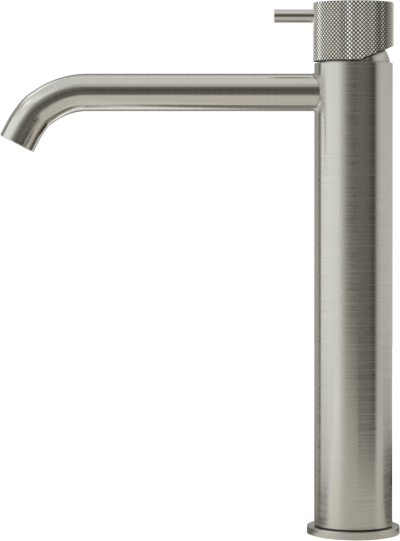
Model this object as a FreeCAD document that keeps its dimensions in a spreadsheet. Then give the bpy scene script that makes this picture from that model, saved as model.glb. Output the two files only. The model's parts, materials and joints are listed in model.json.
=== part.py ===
"""Tall single-lever basin mixer with a tubular spout and a knurled handle, in millimetres.

The origin is on the column's axis at the underside of the base flange, +Z is up, and the spout
and the pin lever point towards -X. All pieces are drawn in place, with the tap closed.
"""
import FreeCAD, Part
import math
import os
import Sketcher
from types import SimpleNamespace

DIMENSIONS = {
    # Flange and foot
    "flange_radius": 27.3,
    "flange_thickness": 4.4,
    "flange_bore_radius": 19.4,
    "groove_inner_radius": 21.2,
    "groove_outer_radius": 24.8,
    "groove_depth": 1.2,
    "edge_chamfer": 0.4,
    "foot_spigot_radius": 19.3,
    "foot_radius": 19.9,
    "foot_height": 24.0,
    "port_radius": 4.5,
    "port_depth": 12.0,
    "stud_hole_radius": 3.4,
    "stud_hole_offset": 10.5,
    "stud_hole_depth": 14.0,
    # Column
    "column_radius": 23.0,
    "column_bore_radius": 20.0,
    "column_bottom": 4.8,
    "column_top": 276.3,
    "static_gap": 0.1,
    # Risers
    "riser_radius": 5.0,
    "riser_bore_radius": 4.0,
    "riser_offset_x": -3.0,
    "riser_offset_y": 8.5,
    "riser_seat": 8.0,
    "ring_recess_radius": 6.6,
    "ring_recess_depth": 1.8,
    # Valve body
    "valve_bottom": 222.0,
    "valve_land_radius": 19.85,
    "valve_waist_radius": 16.5,
    "waist_bottom": 238.0,
    "waist_top": 269.2,
    "valve_shoulder": 273.5,
    "neck_radius": 14.6,
    "neck_top": 278.0,
    "valve_bore_radius": 12.6,
    "valve_floor": 246.0,
    "ring_groove_radius": 17.5,
    "ring_groove_width": 2.6,
    "lower_ring_level": 230.5,
    "upper_ring_level": 271.3,
    "inlet_offset_x": -2.5,
    "inlet_offset_y": 6.2,
    "inlet_hole_radius": 2.3,
    "outlet_offset_x": 5.0,
    "outlet_hole_radius": 2.4,
    "outlet_level": 242.0,
    # Cartridge
    "cartridge_radius": 12.5,
    "cartridge_bore_radius": 11.3,
    "cartridge_top": 281.0,
    "cartridge_plate": 1.2,
    "cartridge_mouth_radius": 8.4,
    "collar_radius": 13.9,
    "collar_height": 1.4,
    "base_flange_height": 2.0,
    "base_top": 252.2,
    "base_spigot_radius": 11.2,
    "seal_ring_radius": 3.35,
    "seal_wire_radius": 0.55,
    "seal_groove_radius": 4.1,
    "disc_thickness": 3.0,
    "disc_gap": 0.1,
    "fixed_disc_radius": 11.1,
    "moving_disc_radius": 9.3,
    "moving_disc_offset": 1.5,
    "chamber_half_width": 5.8,
    "chamber_start": 0.8,
    "driver_tongue_width": 10.0,
    "driver_tongue_length": 15.4,
    "driver_tongue_height": 3.0,
    "ball_socket_gap": 0.2,
    "ball_socket_floor": 1.0,
    # Tilt
    "pivot_level": 272.3,
    "pivot_pin_radius": 1.5,
    "pivot_pin_length": 21.2,
    "pressed_gap": 0.02,
    "pivot_gap": 0.06,
    "lever_end_drop": 9.0,
    "lever_ball_radius": 2.4,
    "ball_neck_radius": 1.7,
    "square_drop": 6.1,
    "spindle_width": 7.0,
    "spindle_top": 306.0,
    "carrier_radius": 11.2,
    "carrier_bottom": 261.6,
    "carrier_top": 279.6,
    "carrier_slot_length": 13.8,
    "carrier_slot_gap": 0.2,
    "guide_depth": 3.0,
    # Nut and dome
    "nut_radius": 17.0,
    "nut_bore_radius": 14.7,
    "nut_bottom": 273.8,
    "nut_top": 281.4,
    "notch_width": 3.0,
    "notch_height": 3.0,
    "notch_depth": 1.3,
    "dome_radius": 22.0,
    "dome_inner_radius": 20.6,
    "dome_mouth_radius": 14.0,
    "dome_spigot_radius": 19.9,
    "dome_spigot_bore": 18.6,
    "dome_spigot_bottom": 274.0,
    # Handle
    "handle_radius": 23.75,
    "handle_bottom": 277.4,
    "handle_top": 311.8,
    "handle_chamfer": 0.5,
    "cavity_radius": 22.25,
    "cavity_top": 295.2,
    "recess_radius": 20.25,
    "recess_top": 308.8,
    "hub_radius": 10.0,
    "cut_start": 1.5,
    "cut_angle": 22.8,
    "pin_level": 304.1,
    "pin_radius": 3.85,
    "pin_reach": 46.8,
    "pin_thread_radius": 2.95,
    "pin_thread_length": 3.4,
    "pin_chamfer": 0.3,
    "pin_seat_gap": 0.15,
    "thread_gap": 0.05,
    "spindle_end_gap": 0.5,
    "screw_gap": 0.2,
    "key_socket_width": 3.0,
    "key_socket_depth": 1.6,
    # Spout
    "spout_level": 259.25,
    "spout_radius": 11.0,
    "spout_bore_radius": 9.5,
    "spout_run": 156.4,
    "first_bend_radius": 43.9,
    "first_bend_angle": 33.6,
    "first_straight": 3.8,
    "second_bend_radius": 18.2,
    "second_bend_angle": 20.8,
    "second_straight": 3.8,
    "third_bend_radius": 45.5,
    "third_bend_angle": 8.2,
    "end_straight": 8.3,
    "bead_radius": 0.7,
    "braze_gap": 0.05,
    "tube_inside_length": 8.0,
    # Aerator
    "aerator_radius": 9.4,
    "aerator_bore_radius": 7.9,
    "aerator_lip_radius": 7.0,
    "aerator_recess": 0.8,
    "aerator_length": 5.6,
    "aerator_lip_height": 1.2,
    "former_thickness": 2.2,
    "former_hole_radius": 0.8,
    "former_hole_spacing": 2.6,
    "screen_thickness": 0.4,
    "screen_spacing": 1.0,
    "first_screen_gap": 0.2,
    "outlet_seal_height": 1.2,
}

doc = FreeCAD.newDocument("basin_mixer")
sheet = doc.addObject("Spreadsheet::Sheet", "Sizes")
subparts = []


class Size:
    """A size as a number, together with the spreadsheet expression that it comes from."""

    def __init__(self, value, text):
        self.value = float(value)
        self.text = text

    def __add__(self, other):
        other = as_size(other)
        return Size(self.value + other.value, "(%s + %s)" % (self.text, other.text))

    def __sub__(self, other):
        other = as_size(other)
        return Size(self.value - other.value, "(%s - %s)" % (self.text, other.text))

    def __mul__(self, other):
        other = as_size(other)
        return Size(self.value * other.value, "(%s * %s)" % (self.text, other.text))

    def __truediv__(self, other):
        other = as_size(other)
        return Size(self.value / other.value, "(%s / %s)" % (self.text, other.text))

    def __neg__(self):
        return Size(-self.value, "(0 - %s)" % self.text)


def as_size(number):
    if isinstance(number, Size):
        return number
    return Size(number, "(%r)" % float(number))


def leg(hypotenuse, other_leg):
    """The second short side of a right-angled triangle."""
    value = math.sqrt(hypotenuse.value ** 2 - other_leg.value ** 2)
    return Size(value, "sqrt(%s^2 - %s^2)" % (hypotenuse.text, other_leg.text))


def sine(degrees):
    return Size(math.sin(math.radians(degrees.value)), "sin(%s * 1 deg)" % degrees.text)


def cosine(degrees):
    return Size(math.cos(math.radians(degrees.value)), "cos(%s * 1 deg)" % degrees.text)


def fill_sheet():
    """Writes the driving dimensions to the spreadsheet, one aliased cell each."""
    for row, (name, value) in enumerate(DIMENSIONS.items(), start=1):
        sheet.set("A%d" % row, name)
        sheet.set("B%d" % row, str(value))
        sheet.setAlias("B%d" % row, name)
    doc.recompute()
    return SimpleNamespace(**{name: Size(sheet.get(name), "Sizes." + name) for name in DIMENSIONS})


# Tools for sketches and features

def bind(thing, setting, size):
    thing.setExpression(setting, as_size(size).text)


def new_body(label):
    body = doc.addObject("PartDesign::Body", label)
    body.Label = label
    subparts.append(body)
    return body


def new_sketch(body, name, role, level=None):
    """An empty sketch on one of the body's own origin planes, moved level along its normal."""
    sketch = body.newObject("Sketcher::SketchObject", body.Name + "_" + name)
    plane = [feature for feature in body.Origin.OriginFeatures if feature.Role == role][0]
    sketch.AttachmentSupport = [(plane, "")]
    sketch.MapMode = "FlatFace"
    if level is not None:
        bind(sketch, "AttachmentOffset.Base.z", level)
    return sketch


def pin_point(sketch, element, corner, across, up):
    """Fixes one point of a sketch element at the distances (across, up) from the origin."""
    for kind, size in (("DistanceX", as_size(across)), ("DistanceY", as_size(up))):
        row = sketch.addConstraint(Sketcher.Constraint(kind, -1, 1, element, corner, size.value))
        bind(sketch, "Constraints[%d]" % row, size)


def draw_circle(sketch, across, up, radius):
    centre = FreeCAD.Vector(as_size(across).value, as_size(up).value, 0)
    upright = FreeCAD.Vector(0, 0, 1)
    element = sketch.addGeometry(Part.Circle(centre, upright, as_size(radius).value), False)
    row = sketch.addConstraint(Sketcher.Constraint("Radius", element, as_size(radius).value))
    bind(sketch, "Constraints[%d]" % row, radius)
    pin_point(sketch, element, 3, across, up)


def draw_outline(sketch, corners, arcs=None):
    """Draws a closed outline through the corners.

    arcs maps a corner's index to the (centre across, centre up, radius) of the arc that leaves it.
    """
    arcs = arcs or {}
    points = [FreeCAD.Vector(as_size(x).value, as_size(y).value, 0) for x, y in corners]
    first = sketch.GeometryCount
    ends = []
    for index, start in enumerate(points):
        finish = points[(index + 1) % len(points)]
        if index not in arcs:
            sketch.addGeometry(Part.LineSegment(start, finish), False)
            ends.append((1, 2))
            continue
        across, up, radius = [as_size(size) for size in arcs[index]]
        centre = FreeCAD.Vector(across.value, up.value, 0)
        angles = [math.atan2(p.y - centre.y, p.x - centre.x) for p in (start, finish)]
        forwards = (angles[1] - angles[0]) % (2 * math.pi) < math.pi
        circle = Part.Circle(centre, FreeCAD.Vector(0, 0, 1), radius.value)
        low, high = angles if forwards else reversed(angles)
        element = sketch.addGeometry(Part.ArcOfCircle(circle, low, high), False)
        ends.append((1, 2) if forwards else (2, 1))
        row = sketch.addConstraint(Sketcher.Constraint("Radius", element, radius.value))
        bind(sketch, "Constraints[%d]" % row, radius)
    for index, (start_end, finish_end) in enumerate(ends):
        following = (index + 1) % len(ends)
        sketch.addConstraint(Sketcher.Constraint(
            "Coincident", first + index, finish_end, first + following, ends[following][0]))
        pin_point(sketch, first + index, start_end, *corners[index])


def draw_rectangle(sketch, left, right, bottom, top):
    draw_outline(sketch, [(left, bottom), (right, bottom), (right, top), (left, top)])


def turn(body, name, corners, arcs=None, axis="V_Axis"):
    """Turns an outline drawn in the XZ plane about the sketch's upright or level axis."""
    sketch = new_sketch(body, name, "XZ_Plane")
    draw_outline(sketch, corners, arcs)
    feature = body.newObject("PartDesign::Revolution", body.Name + "_" + name + "_turned")
    feature.Profile = sketch
    feature.ReferenceAxis = (sketch, [axis])
    feature.Angle = 360
    return feature


def turn_away(body, name, corners, arcs=None, axis="V_Axis"):
    """As turn, but takes the turned shape away from the body."""
    sketch = new_sketch(body, name, "XZ_Plane")
    draw_outline(sketch, corners, arcs)
    feature = body.newObject("PartDesign::Groove", body.Name + "_" + name + "_groove")
    feature.Profile = sketch
    feature.ReferenceAxis = (sketch, [axis])
    feature.Angle = 360
    return feature


def pad(body, sketch, length, midplane=False):
    feature = body.newObject("PartDesign::Pad", sketch.Name + "_pad")
    feature.Profile = sketch
    feature.Midplane = midplane
    bind(feature, "Length", length)
    return feature


def pocket(body, sketch, depth, midplane=False, backwards=False):
    """Cuts the sketch down from its plane, or up from it when backwards is set."""
    feature = body.newObject("PartDesign::Pocket", sketch.Name + "_pocket")
    feature.Profile = sketch
    feature.Midplane = midplane
    feature.Reversed = backwards
    bind(feature, "Length", depth)
    return feature


def drill_down(body, name, spots, radius, top, bottom):
    """Drills round holes at the (x, y) spots, from the level top down to the level bottom."""
    sketch = new_sketch(body, name, "XY_Plane", top)
    for x, y in spots:
        draw_circle(sketch, x, y, radius)
    return pocket(body, sketch, as_size(top) - bottom)


def drill_across(body, name, y, z, radius, right, left):
    """Drills a round hole parallel to X, from x = right to x = left."""
    sketch = new_sketch(body, name, "YZ_Plane", right)
    draw_circle(sketch, y, z, radius)
    return pocket(body, sketch, as_size(right) - left)


def ring_group(label, spots, ring_radius, wire_radius):
    """Round rubber rings that lie level at the (x, y, z) spots, as one sub-part."""
    rings = []
    for number, spot in enumerate(spots, start=1):
        ring = doc.addObject("Part::Torus", "%s_ring_%d" % (label, number))
        bind(ring, "Radius1", ring_radius)
        bind(ring, "Radius2", wire_radius)
        for axis, size in zip("xyz", spot):
            bind(ring, "Placement.Base." + axis, size)
        rings.append(ring)
    group = doc.addObject("Part::Compound", label)
    group.Label = label
    group.Links = rings
    subparts.append(group)


def both_sides(x, y):
    """The hot and the cold spot, mirrored in the XZ plane."""
    return [(x, y), (x, -y)]


def at_level(spots, z):
    return [(x, y, z) for x, y in spots]


# The sub-parts

def make_base_flange(d):
    body = new_body("base_flange")
    turn(body, "ring", [
        (d.flange_bore_radius, 0),
        (d.flange_radius, 0),
        (d.flange_radius, d.flange_thickness - d.edge_chamfer),
        (d.flange_radius - d.edge_chamfer, d.flange_thickness),
        (d.flange_bore_radius, d.flange_thickness),
    ])
    sketch = new_sketch(body, "gasket_groove", "XY_Plane", d.groove_depth)
    draw_circle(sketch, 0, 0, d.groove_outer_radius)
    draw_circle(sketch, 0, 0, d.groove_inner_radius)
    pocket(body, sketch, d.groove_depth)


def make_gasket(label, inner, outer, bottom, top):
    turn(new_body(label), "ring", [(inner, bottom), (outer, bottom), (outer, top), (inner, top)])


def make_gaskets(d):
    make_gasket("base_gasket", d.groove_inner_radius + d.static_gap,
                d.groove_outer_radius - d.static_gap, 0, d.groove_depth)
    make_gasket("column_gasket", d.foot_radius, d.column_radius - d.edge_chamfer,
                d.flange_thickness, d.column_bottom)


def make_column_shell(d):
    body = new_body("column_shell")
    turn(body, "tube", [
        (d.column_bore_radius, d.column_bottom),
        (d.column_radius - d.edge_chamfer, d.column_bottom),
        (d.column_radius, d.column_bottom + d.edge_chamfer),
        (d.column_radius, d.column_top - d.edge_chamfer),
        (d.column_radius - d.edge_chamfer, d.column_top),
        (d.column_bore_radius, d.column_top),
    ])
    drill_across(body, "spout_hole", 0, d.spout_level, d.spout_radius + d.braze_gap, 0,
                 -d.flange_radius)


def make_foot_insert(d):
    body = new_body("foot_insert")
    turn(body, "plug", [
        (0, 0),
        (d.foot_spigot_radius, 0),
        (d.foot_spigot_radius, d.column_bottom),
        (d.foot_radius, d.column_bottom),
        (d.foot_radius, d.foot_height),
        (0, d.foot_height),
    ])
    risers = both_sides(d.riser_offset_x, d.riser_offset_y)
    seat = d.foot_height - d.riser_seat
    socket = d.riser_radius + d.static_gap
    drill_down(body, "ring_recess", risers, d.ring_recess_radius, d.foot_height,
               d.foot_height - d.ring_recess_depth)
    drill_down(body, "riser_socket", risers, socket, d.foot_height, seat)
    drill_down(body, "water_way", risers, d.riser_bore_radius, seat, d.port_depth)
    drill_down(body, "hose_port", risers, d.port_radius, d.port_depth, 0)
    drill_down(body, "stud_hole", [(d.stud_hole_offset, 0)], d.stud_hole_radius,
               d.stud_hole_depth, 0)


def make_risers(d):
    bottom = d.foot_height - d.riser_seat
    top = d.valve_bottom + d.riser_seat
    for label, side in (("hot_riser", 1), ("cold_riser", -1)):
        body = new_body(label)
        sketch = new_sketch(body, "section", "XY_Plane", bottom)
        for radius in (d.riser_radius, d.riser_bore_radius):
            draw_circle(sketch, d.riser_offset_x, d.riser_offset_y * side, radius)
        pad(body, sketch, top - bottom)
    spots = both_sides(d.riser_offset_x, d.riser_offset_y)
    wire = (d.ring_recess_radius - d.riser_radius - d.static_gap) / 2
    middle = (d.ring_recess_radius + d.riser_radius) / 2
    half_recess = d.ring_recess_depth / 2
    ring_group("riser_lower_o_rings", at_level(spots, d.foot_height - half_recess), middle, wire)
    ring_group("riser_upper_o_rings", at_level(spots, d.valve_bottom + half_recess), middle, wire)


def make_valve_body(d):
    body = new_body("valve_body")
    turn(body, "block", [
        (0, d.valve_bottom),
        (d.valve_land_radius, d.valve_bottom),
        (d.valve_land_radius, d.waist_bottom),
        (d.valve_waist_radius, d.waist_bottom),
        (d.valve_waist_radius, d.waist_top),
        (d.valve_land_radius, d.waist_top),
        (d.valve_land_radius, d.valve_shoulder),
        (d.neck_radius, d.valve_shoulder),
        (d.neck_radius, d.neck_top),
        (d.valve_bore_radius, d.neck_top),
        (d.valve_bore_radius, d.valve_floor),
        (0, d.valve_floor),
    ])
    half_width = d.ring_groove_width / 2
    for name, level in (("lower", d.lower_ring_level), ("upper", d.upper_ring_level)):
        turn_away(body, name + "_ring", [
            (d.ring_groove_radius, level - half_width),
            (d.column_radius, level - half_width),
            (d.column_radius, level + half_width),
            (d.ring_groove_radius, level + half_width),
        ])
    risers = both_sides(d.riser_offset_x, d.riser_offset_y)
    inlets = both_sides(d.inlet_offset_x, d.inlet_offset_y)
    seat = d.valve_bottom + d.riser_seat
    drill_down(body, "ring_recess", risers, d.ring_recess_radius,
               d.valve_bottom + d.ring_recess_depth, d.valve_bottom)
    drill_down(body, "riser_socket", risers, d.riser_radius + d.static_gap, seat, d.valve_bottom)
    drill_down(body, "inlet_way", inlets, d.inlet_hole_radius, d.valve_floor, seat)
    drill_down(body, "outlet_way", [(d.outlet_offset_x, 0)], d.outlet_hole_radius,
               d.valve_floor, d.outlet_level)
    drill_across(body, "outlet_cross", 0, d.outlet_level, d.outlet_hole_radius,
                 d.valve_land_radius, d.outlet_offset_x)

    wire = (d.column_bore_radius - d.ring_groove_radius - d.static_gap) / 2
    middle = (d.column_bore_radius + d.ring_groove_radius) / 2
    ring_group("valve_body_o_rings",
               [(0, 0, d.lower_ring_level), (0, 0, d.upper_ring_level)], middle, wire)


def make_cartridge_base(d):
    body = new_body("cartridge_base")
    spigot_bottom = d.valve_floor + d.base_flange_height
    turn(body, "block", [
        (0, d.valve_floor),
        (d.cartridge_radius, d.valve_floor),
        (d.cartridge_radius, spigot_bottom),
        (d.base_spigot_radius, spigot_bottom),
        (d.base_spigot_radius, d.base_top),
        (0, d.base_top),
    ])
    inlets = both_sides(d.inlet_offset_x, d.inlet_offset_y)
    outlets = [(d.outlet_offset_x, 0)]
    groove_depth = d.seal_wire_radius * 2 + d.static_gap
    drill_down(body, "inlets", inlets, d.inlet_hole_radius, d.base_top, d.valve_floor)
    drill_down(body, "outlet", outlets, d.outlet_hole_radius, d.base_top, d.valve_floor)
    for side, top in (("lower", d.valve_floor + groove_depth), ("upper", d.base_top)):
        drill_down(body, side + "_seal_seats", inlets + outlets, d.seal_groove_radius, top,
                   top - groove_depth)
    half_groove = groove_depth / 2
    for label, level in (("cartridge_lower_seals", d.valve_floor + half_groove),
                         ("cartridge_upper_seals", d.base_top - half_groove)):
        ring_group(label, at_level(inlets + outlets, level), d.seal_ring_radius,
                   d.seal_wire_radius)


def make_discs(d):
    fixed = new_body("fixed_disc")
    fixed_top = d.base_top + d.disc_thickness
    sketch = new_sketch(fixed, "outline", "XY_Plane", d.base_top)
    draw_circle(sketch, 0, 0, d.fixed_disc_radius)
    for x, y in both_sides(d.inlet_offset_x, d.inlet_offset_y):
        draw_circle(sketch, x, y, d.inlet_hole_radius)
    draw_circle(sketch, d.outlet_offset_x, 0, d.outlet_hole_radius)
    pad(fixed, sketch, d.disc_thickness)

    moving = new_body("moving_disc")
    moving_bottom = fixed_top + d.disc_gap
    sketch = new_sketch(moving, "outline", "XY_Plane", moving_bottom)
    draw_circle(sketch, d.moving_disc_offset, 0, d.moving_disc_radius)
    pad(moving, sketch, d.disc_thickness)
    chamber_depth = d.disc_thickness / 2
    sketch = new_sketch(moving, "mixing_chamber", "XY_Plane", moving_bottom + chamber_depth)
    draw_rectangle(sketch, d.chamber_start, d.moving_disc_offset + d.chamber_half_width,
                   -d.chamber_half_width, d.chamber_half_width)
    pocket(moving, sketch, chamber_depth)

    driver = new_body("disc_driver")
    driver_bottom = moving_bottom + d.disc_thickness
    plate_top = driver_bottom + d.disc_thickness
    sketch = new_sketch(driver, "plate", "XY_Plane", driver_bottom)
    draw_circle(sketch, d.moving_disc_offset, 0, d.moving_disc_radius)
    pad(driver, sketch, d.disc_thickness)
    sketch = new_sketch(driver, "tongue", "XY_Plane", plate_top)
    half_length = d.driver_tongue_length / 2
    half_width = d.driver_tongue_width / 2
    draw_rectangle(sketch, d.moving_disc_offset - half_length,
                   d.moving_disc_offset + half_length, -half_width, half_width)
    pad(driver, sketch, d.driver_tongue_height)
    drill_down(driver, "ball_socket", [(0, 0)], d.lever_ball_radius + d.ball_socket_gap,
               plate_top + d.driver_tongue_height, driver_bottom + d.ball_socket_floor)


def make_cartridge_housing(d):
    bottom = d.valve_floor + d.base_flange_height
    plate_bottom = d.cartridge_top - d.cartridge_plate
    collar_top = d.neck_top + d.collar_height
    turn(new_body("cartridge_housing"), "shell", [
        (d.cartridge_bore_radius, bottom),
        (d.cartridge_radius, bottom),
        (d.cartridge_radius, d.neck_top),
        (d.collar_radius, d.neck_top),
        (d.collar_radius, collar_top),
        (d.cartridge_radius, collar_top),
        (d.cartridge_radius, d.cartridge_top),
        (d.cartridge_mouth_radius, d.cartridge_top),
        (d.cartridge_mouth_radius, plate_bottom),
        (d.cartridge_bore_radius, plate_bottom),
    ])


def make_cartridge_nut(d):
    body = new_body("cartridge_nut")
    lip_bottom = d.neck_top + d.collar_height + d.static_gap
    lip_radius = d.cartridge_radius + d.static_gap
    turn(body, "ring", [
        (d.nut_bore_radius, d.nut_bottom),
        (d.nut_radius, d.nut_bottom),
        (d.nut_radius, d.nut_top - d.edge_chamfer),
        (d.nut_radius - d.edge_chamfer, d.nut_top),
        (lip_radius, d.nut_top),
        (lip_radius, lip_bottom),
        (d.nut_bore_radius, lip_bottom),
    ])
    half_notch = d.notch_width / 2
    sketch = new_sketch(body, "notch", "XY_Plane", d.nut_top)
    draw_rectangle(sketch, d.nut_radius - d.notch_depth, d.nut_radius + d.notch_depth,
                   -half_notch, half_notch)
    notch = pocket(body, sketch, d.notch_height)
    notches = body.newObject("PartDesign::PolarPattern", "cartridge_nut_notches")
    notches.Originals = [notch]
    notches.Axis = (sketch, ["N_Axis"])
    notches.Angle = 360
    notches.Occurrences = 6
    body.Tip = notches


def make_dome_cover(d):
    """A ball-shaped cover whose centre is the lever's pivot, so the handle swings round it."""
    outer_base = leg(d.dome_radius, d.column_top - d.pivot_level)
    outer_top = d.pivot_level + leg(d.dome_radius, d.dome_mouth_radius)
    inner_top = d.pivot_level + leg(d.dome_inner_radius, d.dome_mouth_radius)
    inner_base = d.pivot_level + leg(d.dome_inner_radius, d.dome_spigot_bore)
    corners = [
        (d.dome_spigot_bore, d.dome_spigot_bottom),
        (d.dome_spigot_radius, d.dome_spigot_bottom),
        (d.dome_spigot_radius, d.column_top),
        (outer_base, d.column_top),
        (d.dome_mouth_radius, outer_top),
        (d.dome_mouth_radius, inner_top),
        (d.dome_spigot_bore, inner_base),
    ]
    arcs = {
        3: (0, d.pivot_level, d.dome_radius),
        5: (0, d.pivot_level, d.dome_inner_radius),
    }
    turn(new_body("dome_cover"), "shell", corners, arcs)


def make_lever_carrier(d):
    body = new_body("lever_carrier")
    sketch = new_sketch(body, "outline", "XY_Plane", d.carrier_bottom)
    draw_circle(sketch, 0, 0, d.carrier_radius)
    pad(body, sketch, d.carrier_top - d.carrier_bottom)
    half_slot = d.carrier_slot_length / 2
    half_width = d.spindle_width / 2 + d.carrier_slot_gap
    sketch = new_sketch(body, "lever_slot", "XY_Plane", d.carrier_top)
    draw_rectangle(sketch, -half_slot, half_slot, -half_width, half_width)
    pocket(body, sketch, d.carrier_top - d.carrier_bottom)
    guide_half_width = d.driver_tongue_width / 2 + d.static_gap
    sketch = new_sketch(body, "driver_guide", "XY_Plane", d.carrier_bottom + d.guide_depth)
    draw_rectangle(sketch, -d.carrier_radius, d.carrier_radius,
                   -guide_half_width, guide_half_width)
    pocket(body, sketch, d.guide_depth)
    sketch = new_sketch(body, "pin_hole", "XZ_Plane")
    draw_circle(sketch, 0, d.pivot_level, d.pivot_pin_radius + d.pressed_gap)
    pocket(body, sketch, d.carrier_radius * 2, midplane=True)

    pin = new_body("pivot_pin")
    sketch = new_sketch(pin, "section", "XZ_Plane")
    draw_circle(sketch, 0, d.pivot_level, d.pivot_pin_radius)
    pad(pin, sketch, d.pivot_pin_length, midplane=True)


def make_spindle(d):
    """The square lever: it tilts on the pivot pin, and its ball end moves the disc driver."""
    body = new_body("spindle")
    square_bottom = d.pivot_level - d.square_drop
    half = d.spindle_width / 2
    sketch = new_sketch(body, "section", "XY_Plane", square_bottom)
    draw_rectangle(sketch, -half, half, -half, half)
    pad(body, sketch, d.spindle_top - square_bottom)
    ball_level = d.pivot_level - d.lever_end_drop
    inside_square = square_bottom + 1
    turn(body, "ball_end", [
        (0, ball_level - d.lever_ball_radius),
        (d.ball_neck_radius, ball_level + leg(d.lever_ball_radius, d.ball_neck_radius)),
        (d.ball_neck_radius, inside_square),
        (0, inside_square),
    ], {0: (0, ball_level, d.lever_ball_radius)})
    sketch = new_sketch(body, "pin_hole", "XZ_Plane")
    draw_circle(sketch, 0, d.pivot_level, d.pivot_pin_radius + d.pivot_gap)
    pocket(body, sketch, d.spindle_width * 2, midplane=True)


def make_handle_shell(d):
    body = new_body("handle_shell")
    turn(body, "block", [
        (0, d.handle_top),
        (d.handle_radius - d.handle_chamfer, d.handle_top),
        (d.handle_radius, d.handle_top - d.handle_chamfer),
        (d.handle_radius, d.handle_bottom + d.handle_chamfer),
        (d.handle_radius - d.handle_chamfer, d.handle_bottom),
        (d.cavity_radius, d.handle_bottom),
        (d.cavity_radius, d.cavity_top),
        (d.recess_radius, d.cavity_top),
        (d.recess_radius, d.recess_top),
        (d.hub_radius, d.recess_top),
        (d.hub_radius, d.cavity_top),
        (0, d.cavity_top),
    ])
    half = d.spindle_width / 2 + d.static_gap / 2
    sketch = new_sketch(body, "spindle_socket", "XY_Plane", d.cavity_top)
    draw_rectangle(sketch, -half, half, -half, half)
    pocket(body, sketch, d.spindle_top - d.cavity_top + d.spindle_end_gap, backwards=True)
    drill_across(body, "lever_hole", 0, d.pin_level, d.pin_radius + d.thread_gap,
                 -d.hub_radius, -d.handle_radius - 1)
    drill_across(body, "thread_hole", 0, d.pin_level, d.pin_thread_radius + d.thread_gap, 0,
                 -d.hub_radius)

    beyond = d.handle_radius + 2
    slope = sine(d.cut_angle) / cosine(d.cut_angle)
    sketch = new_sketch(body, "rear_cut", "XZ_Plane")
    draw_outline(sketch, [
        (d.cut_start, d.handle_bottom),
        (beyond, d.handle_bottom + (beyond - d.cut_start) * slope),
        (beyond, d.handle_bottom - 2),
        (d.cut_start, d.handle_bottom - 2),
    ])
    pocket(body, sketch, d.handle_radius * 3, midplane=True)


def make_lever_pin(d):
    """The round pin lever and the grub screw behind it, both in the handle's side thread."""
    seat = d.hub_radius + d.pin_seat_gap
    thread_end = -seat + d.pin_thread_length
    pin = new_body("lever_pin")
    turn(pin, "bar", [
        (-d.pin_reach, 0),
        (-d.pin_reach, d.pin_radius - d.pin_chamfer),
        (-d.pin_reach + d.pin_chamfer, d.pin_radius),
        (-seat, d.pin_radius),
        (-seat, d.pin_thread_radius),
        (thread_end, d.pin_thread_radius),
        (thread_end, 0),
    ], axis="H_Axis")
    bind(pin, "Placement.Base.z", d.pin_level)

    screw = new_body("handle_grub_screw")
    screw_start = thread_end + d.screw_gap
    screw_end = -d.spindle_width / 2 - d.pressed_gap
    turn(screw, "plug", [
        (screw_start, 0),
        (screw_start, d.pin_thread_radius),
        (screw_end, d.pin_thread_radius),
        (screw_end, 0),
    ], axis="H_Axis")
    flat = d.key_socket_width / 2
    corner = flat / cosine(as_size(30))
    sketch = new_sketch(screw, "key_socket", "YZ_Plane", screw_start + d.key_socket_depth)
    draw_outline(sketch, [
        (corner, 0), (corner / 2, flat), (-corner / 2, flat),
        (-corner, 0), (-corner / 2, -flat), (corner / 2, -flat),
    ])
    pocket(screw, sketch, d.key_socket_depth)
    bind(screw, "Placement.Base.z", d.pin_level)


def spout_bends(d):
    """Each bend of the spout with the straight after it: (radius, angle, straight)."""
    return [
        (d.first_bend_radius, d.first_bend_angle, d.first_straight),
        (d.second_bend_radius, d.second_bend_angle, d.second_straight),
        (d.third_bend_radius, d.third_bend_angle, d.end_straight),
    ]


def spout_end(d):
    """The outlet's centre (x, z) and the angle by which the spout has turned down there."""
    x, z = -d.spout_run, d.spout_level
    heading = as_size(0)
    for radius, angle, straight in spout_bends(d):
        turned = heading + angle
        x = x + radius * (sine(heading) - sine(turned)) - straight * cosine(turned)
        z = z + radius * (cosine(turned) - cosine(heading)) - straight * sine(turned)
        heading = turned
    return x, z, heading


def draw_spout_path(sketch, d, start):
    """The centre line in the XZ plane: level from x = -start, then tangent bends and straights."""
    x, z = -start.value, d.spout_level.value
    heading = 0.0
    lengths = []

    def add_line(length):
        nonlocal x, z
        beyond = (x - length.value * math.cos(heading), z - length.value * math.sin(heading))
        line = Part.LineSegment(FreeCAD.Vector(x, z, 0), FreeCAD.Vector(*beyond, 0))
        lengths.append(("Distance", sketch.addGeometry(line, False), length))
        x, z = beyond

    add_line(d.spout_run - start)
    for radius, angle, straight in spout_bends(d):
        centre = FreeCAD.Vector(x + radius.value * math.sin(heading),
                                z - radius.value * math.cos(heading), 0)
        circle = Part.Circle(centre, FreeCAD.Vector(0, 0, 1), radius.value)
        turned = heading + math.radians(angle.value)
        arc = Part.ArcOfCircle(circle, math.pi / 2 + heading, math.pi / 2 + turned)
        element = sketch.addGeometry(arc, False)
        lengths.append(("Radius", element, radius))
        lengths.append(("Angle", element, angle))
        x, z = arc.EndPoint.x, arc.EndPoint.y
        heading = turned
        add_line(straight)

    pin_point(sketch, 0, 1, -start, d.spout_level)
    sketch.addConstraint(Sketcher.Constraint("Horizontal", 0))
    for element in range(sketch.GeometryCount - 1):
        sketch.addConstraint(Sketcher.Constraint("Tangent", element, 2, element + 1, 1))
    for kind, element, size in lengths:
        value = math.radians(size.value) if kind == "Angle" else size.value
        row = sketch.addConstraint(Sketcher.Constraint(kind, element, value))
        unit = " * 1 deg" if kind == "Angle" else ""
        sketch.setExpression("Constraints[%d]" % row, size.text + unit)


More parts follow.
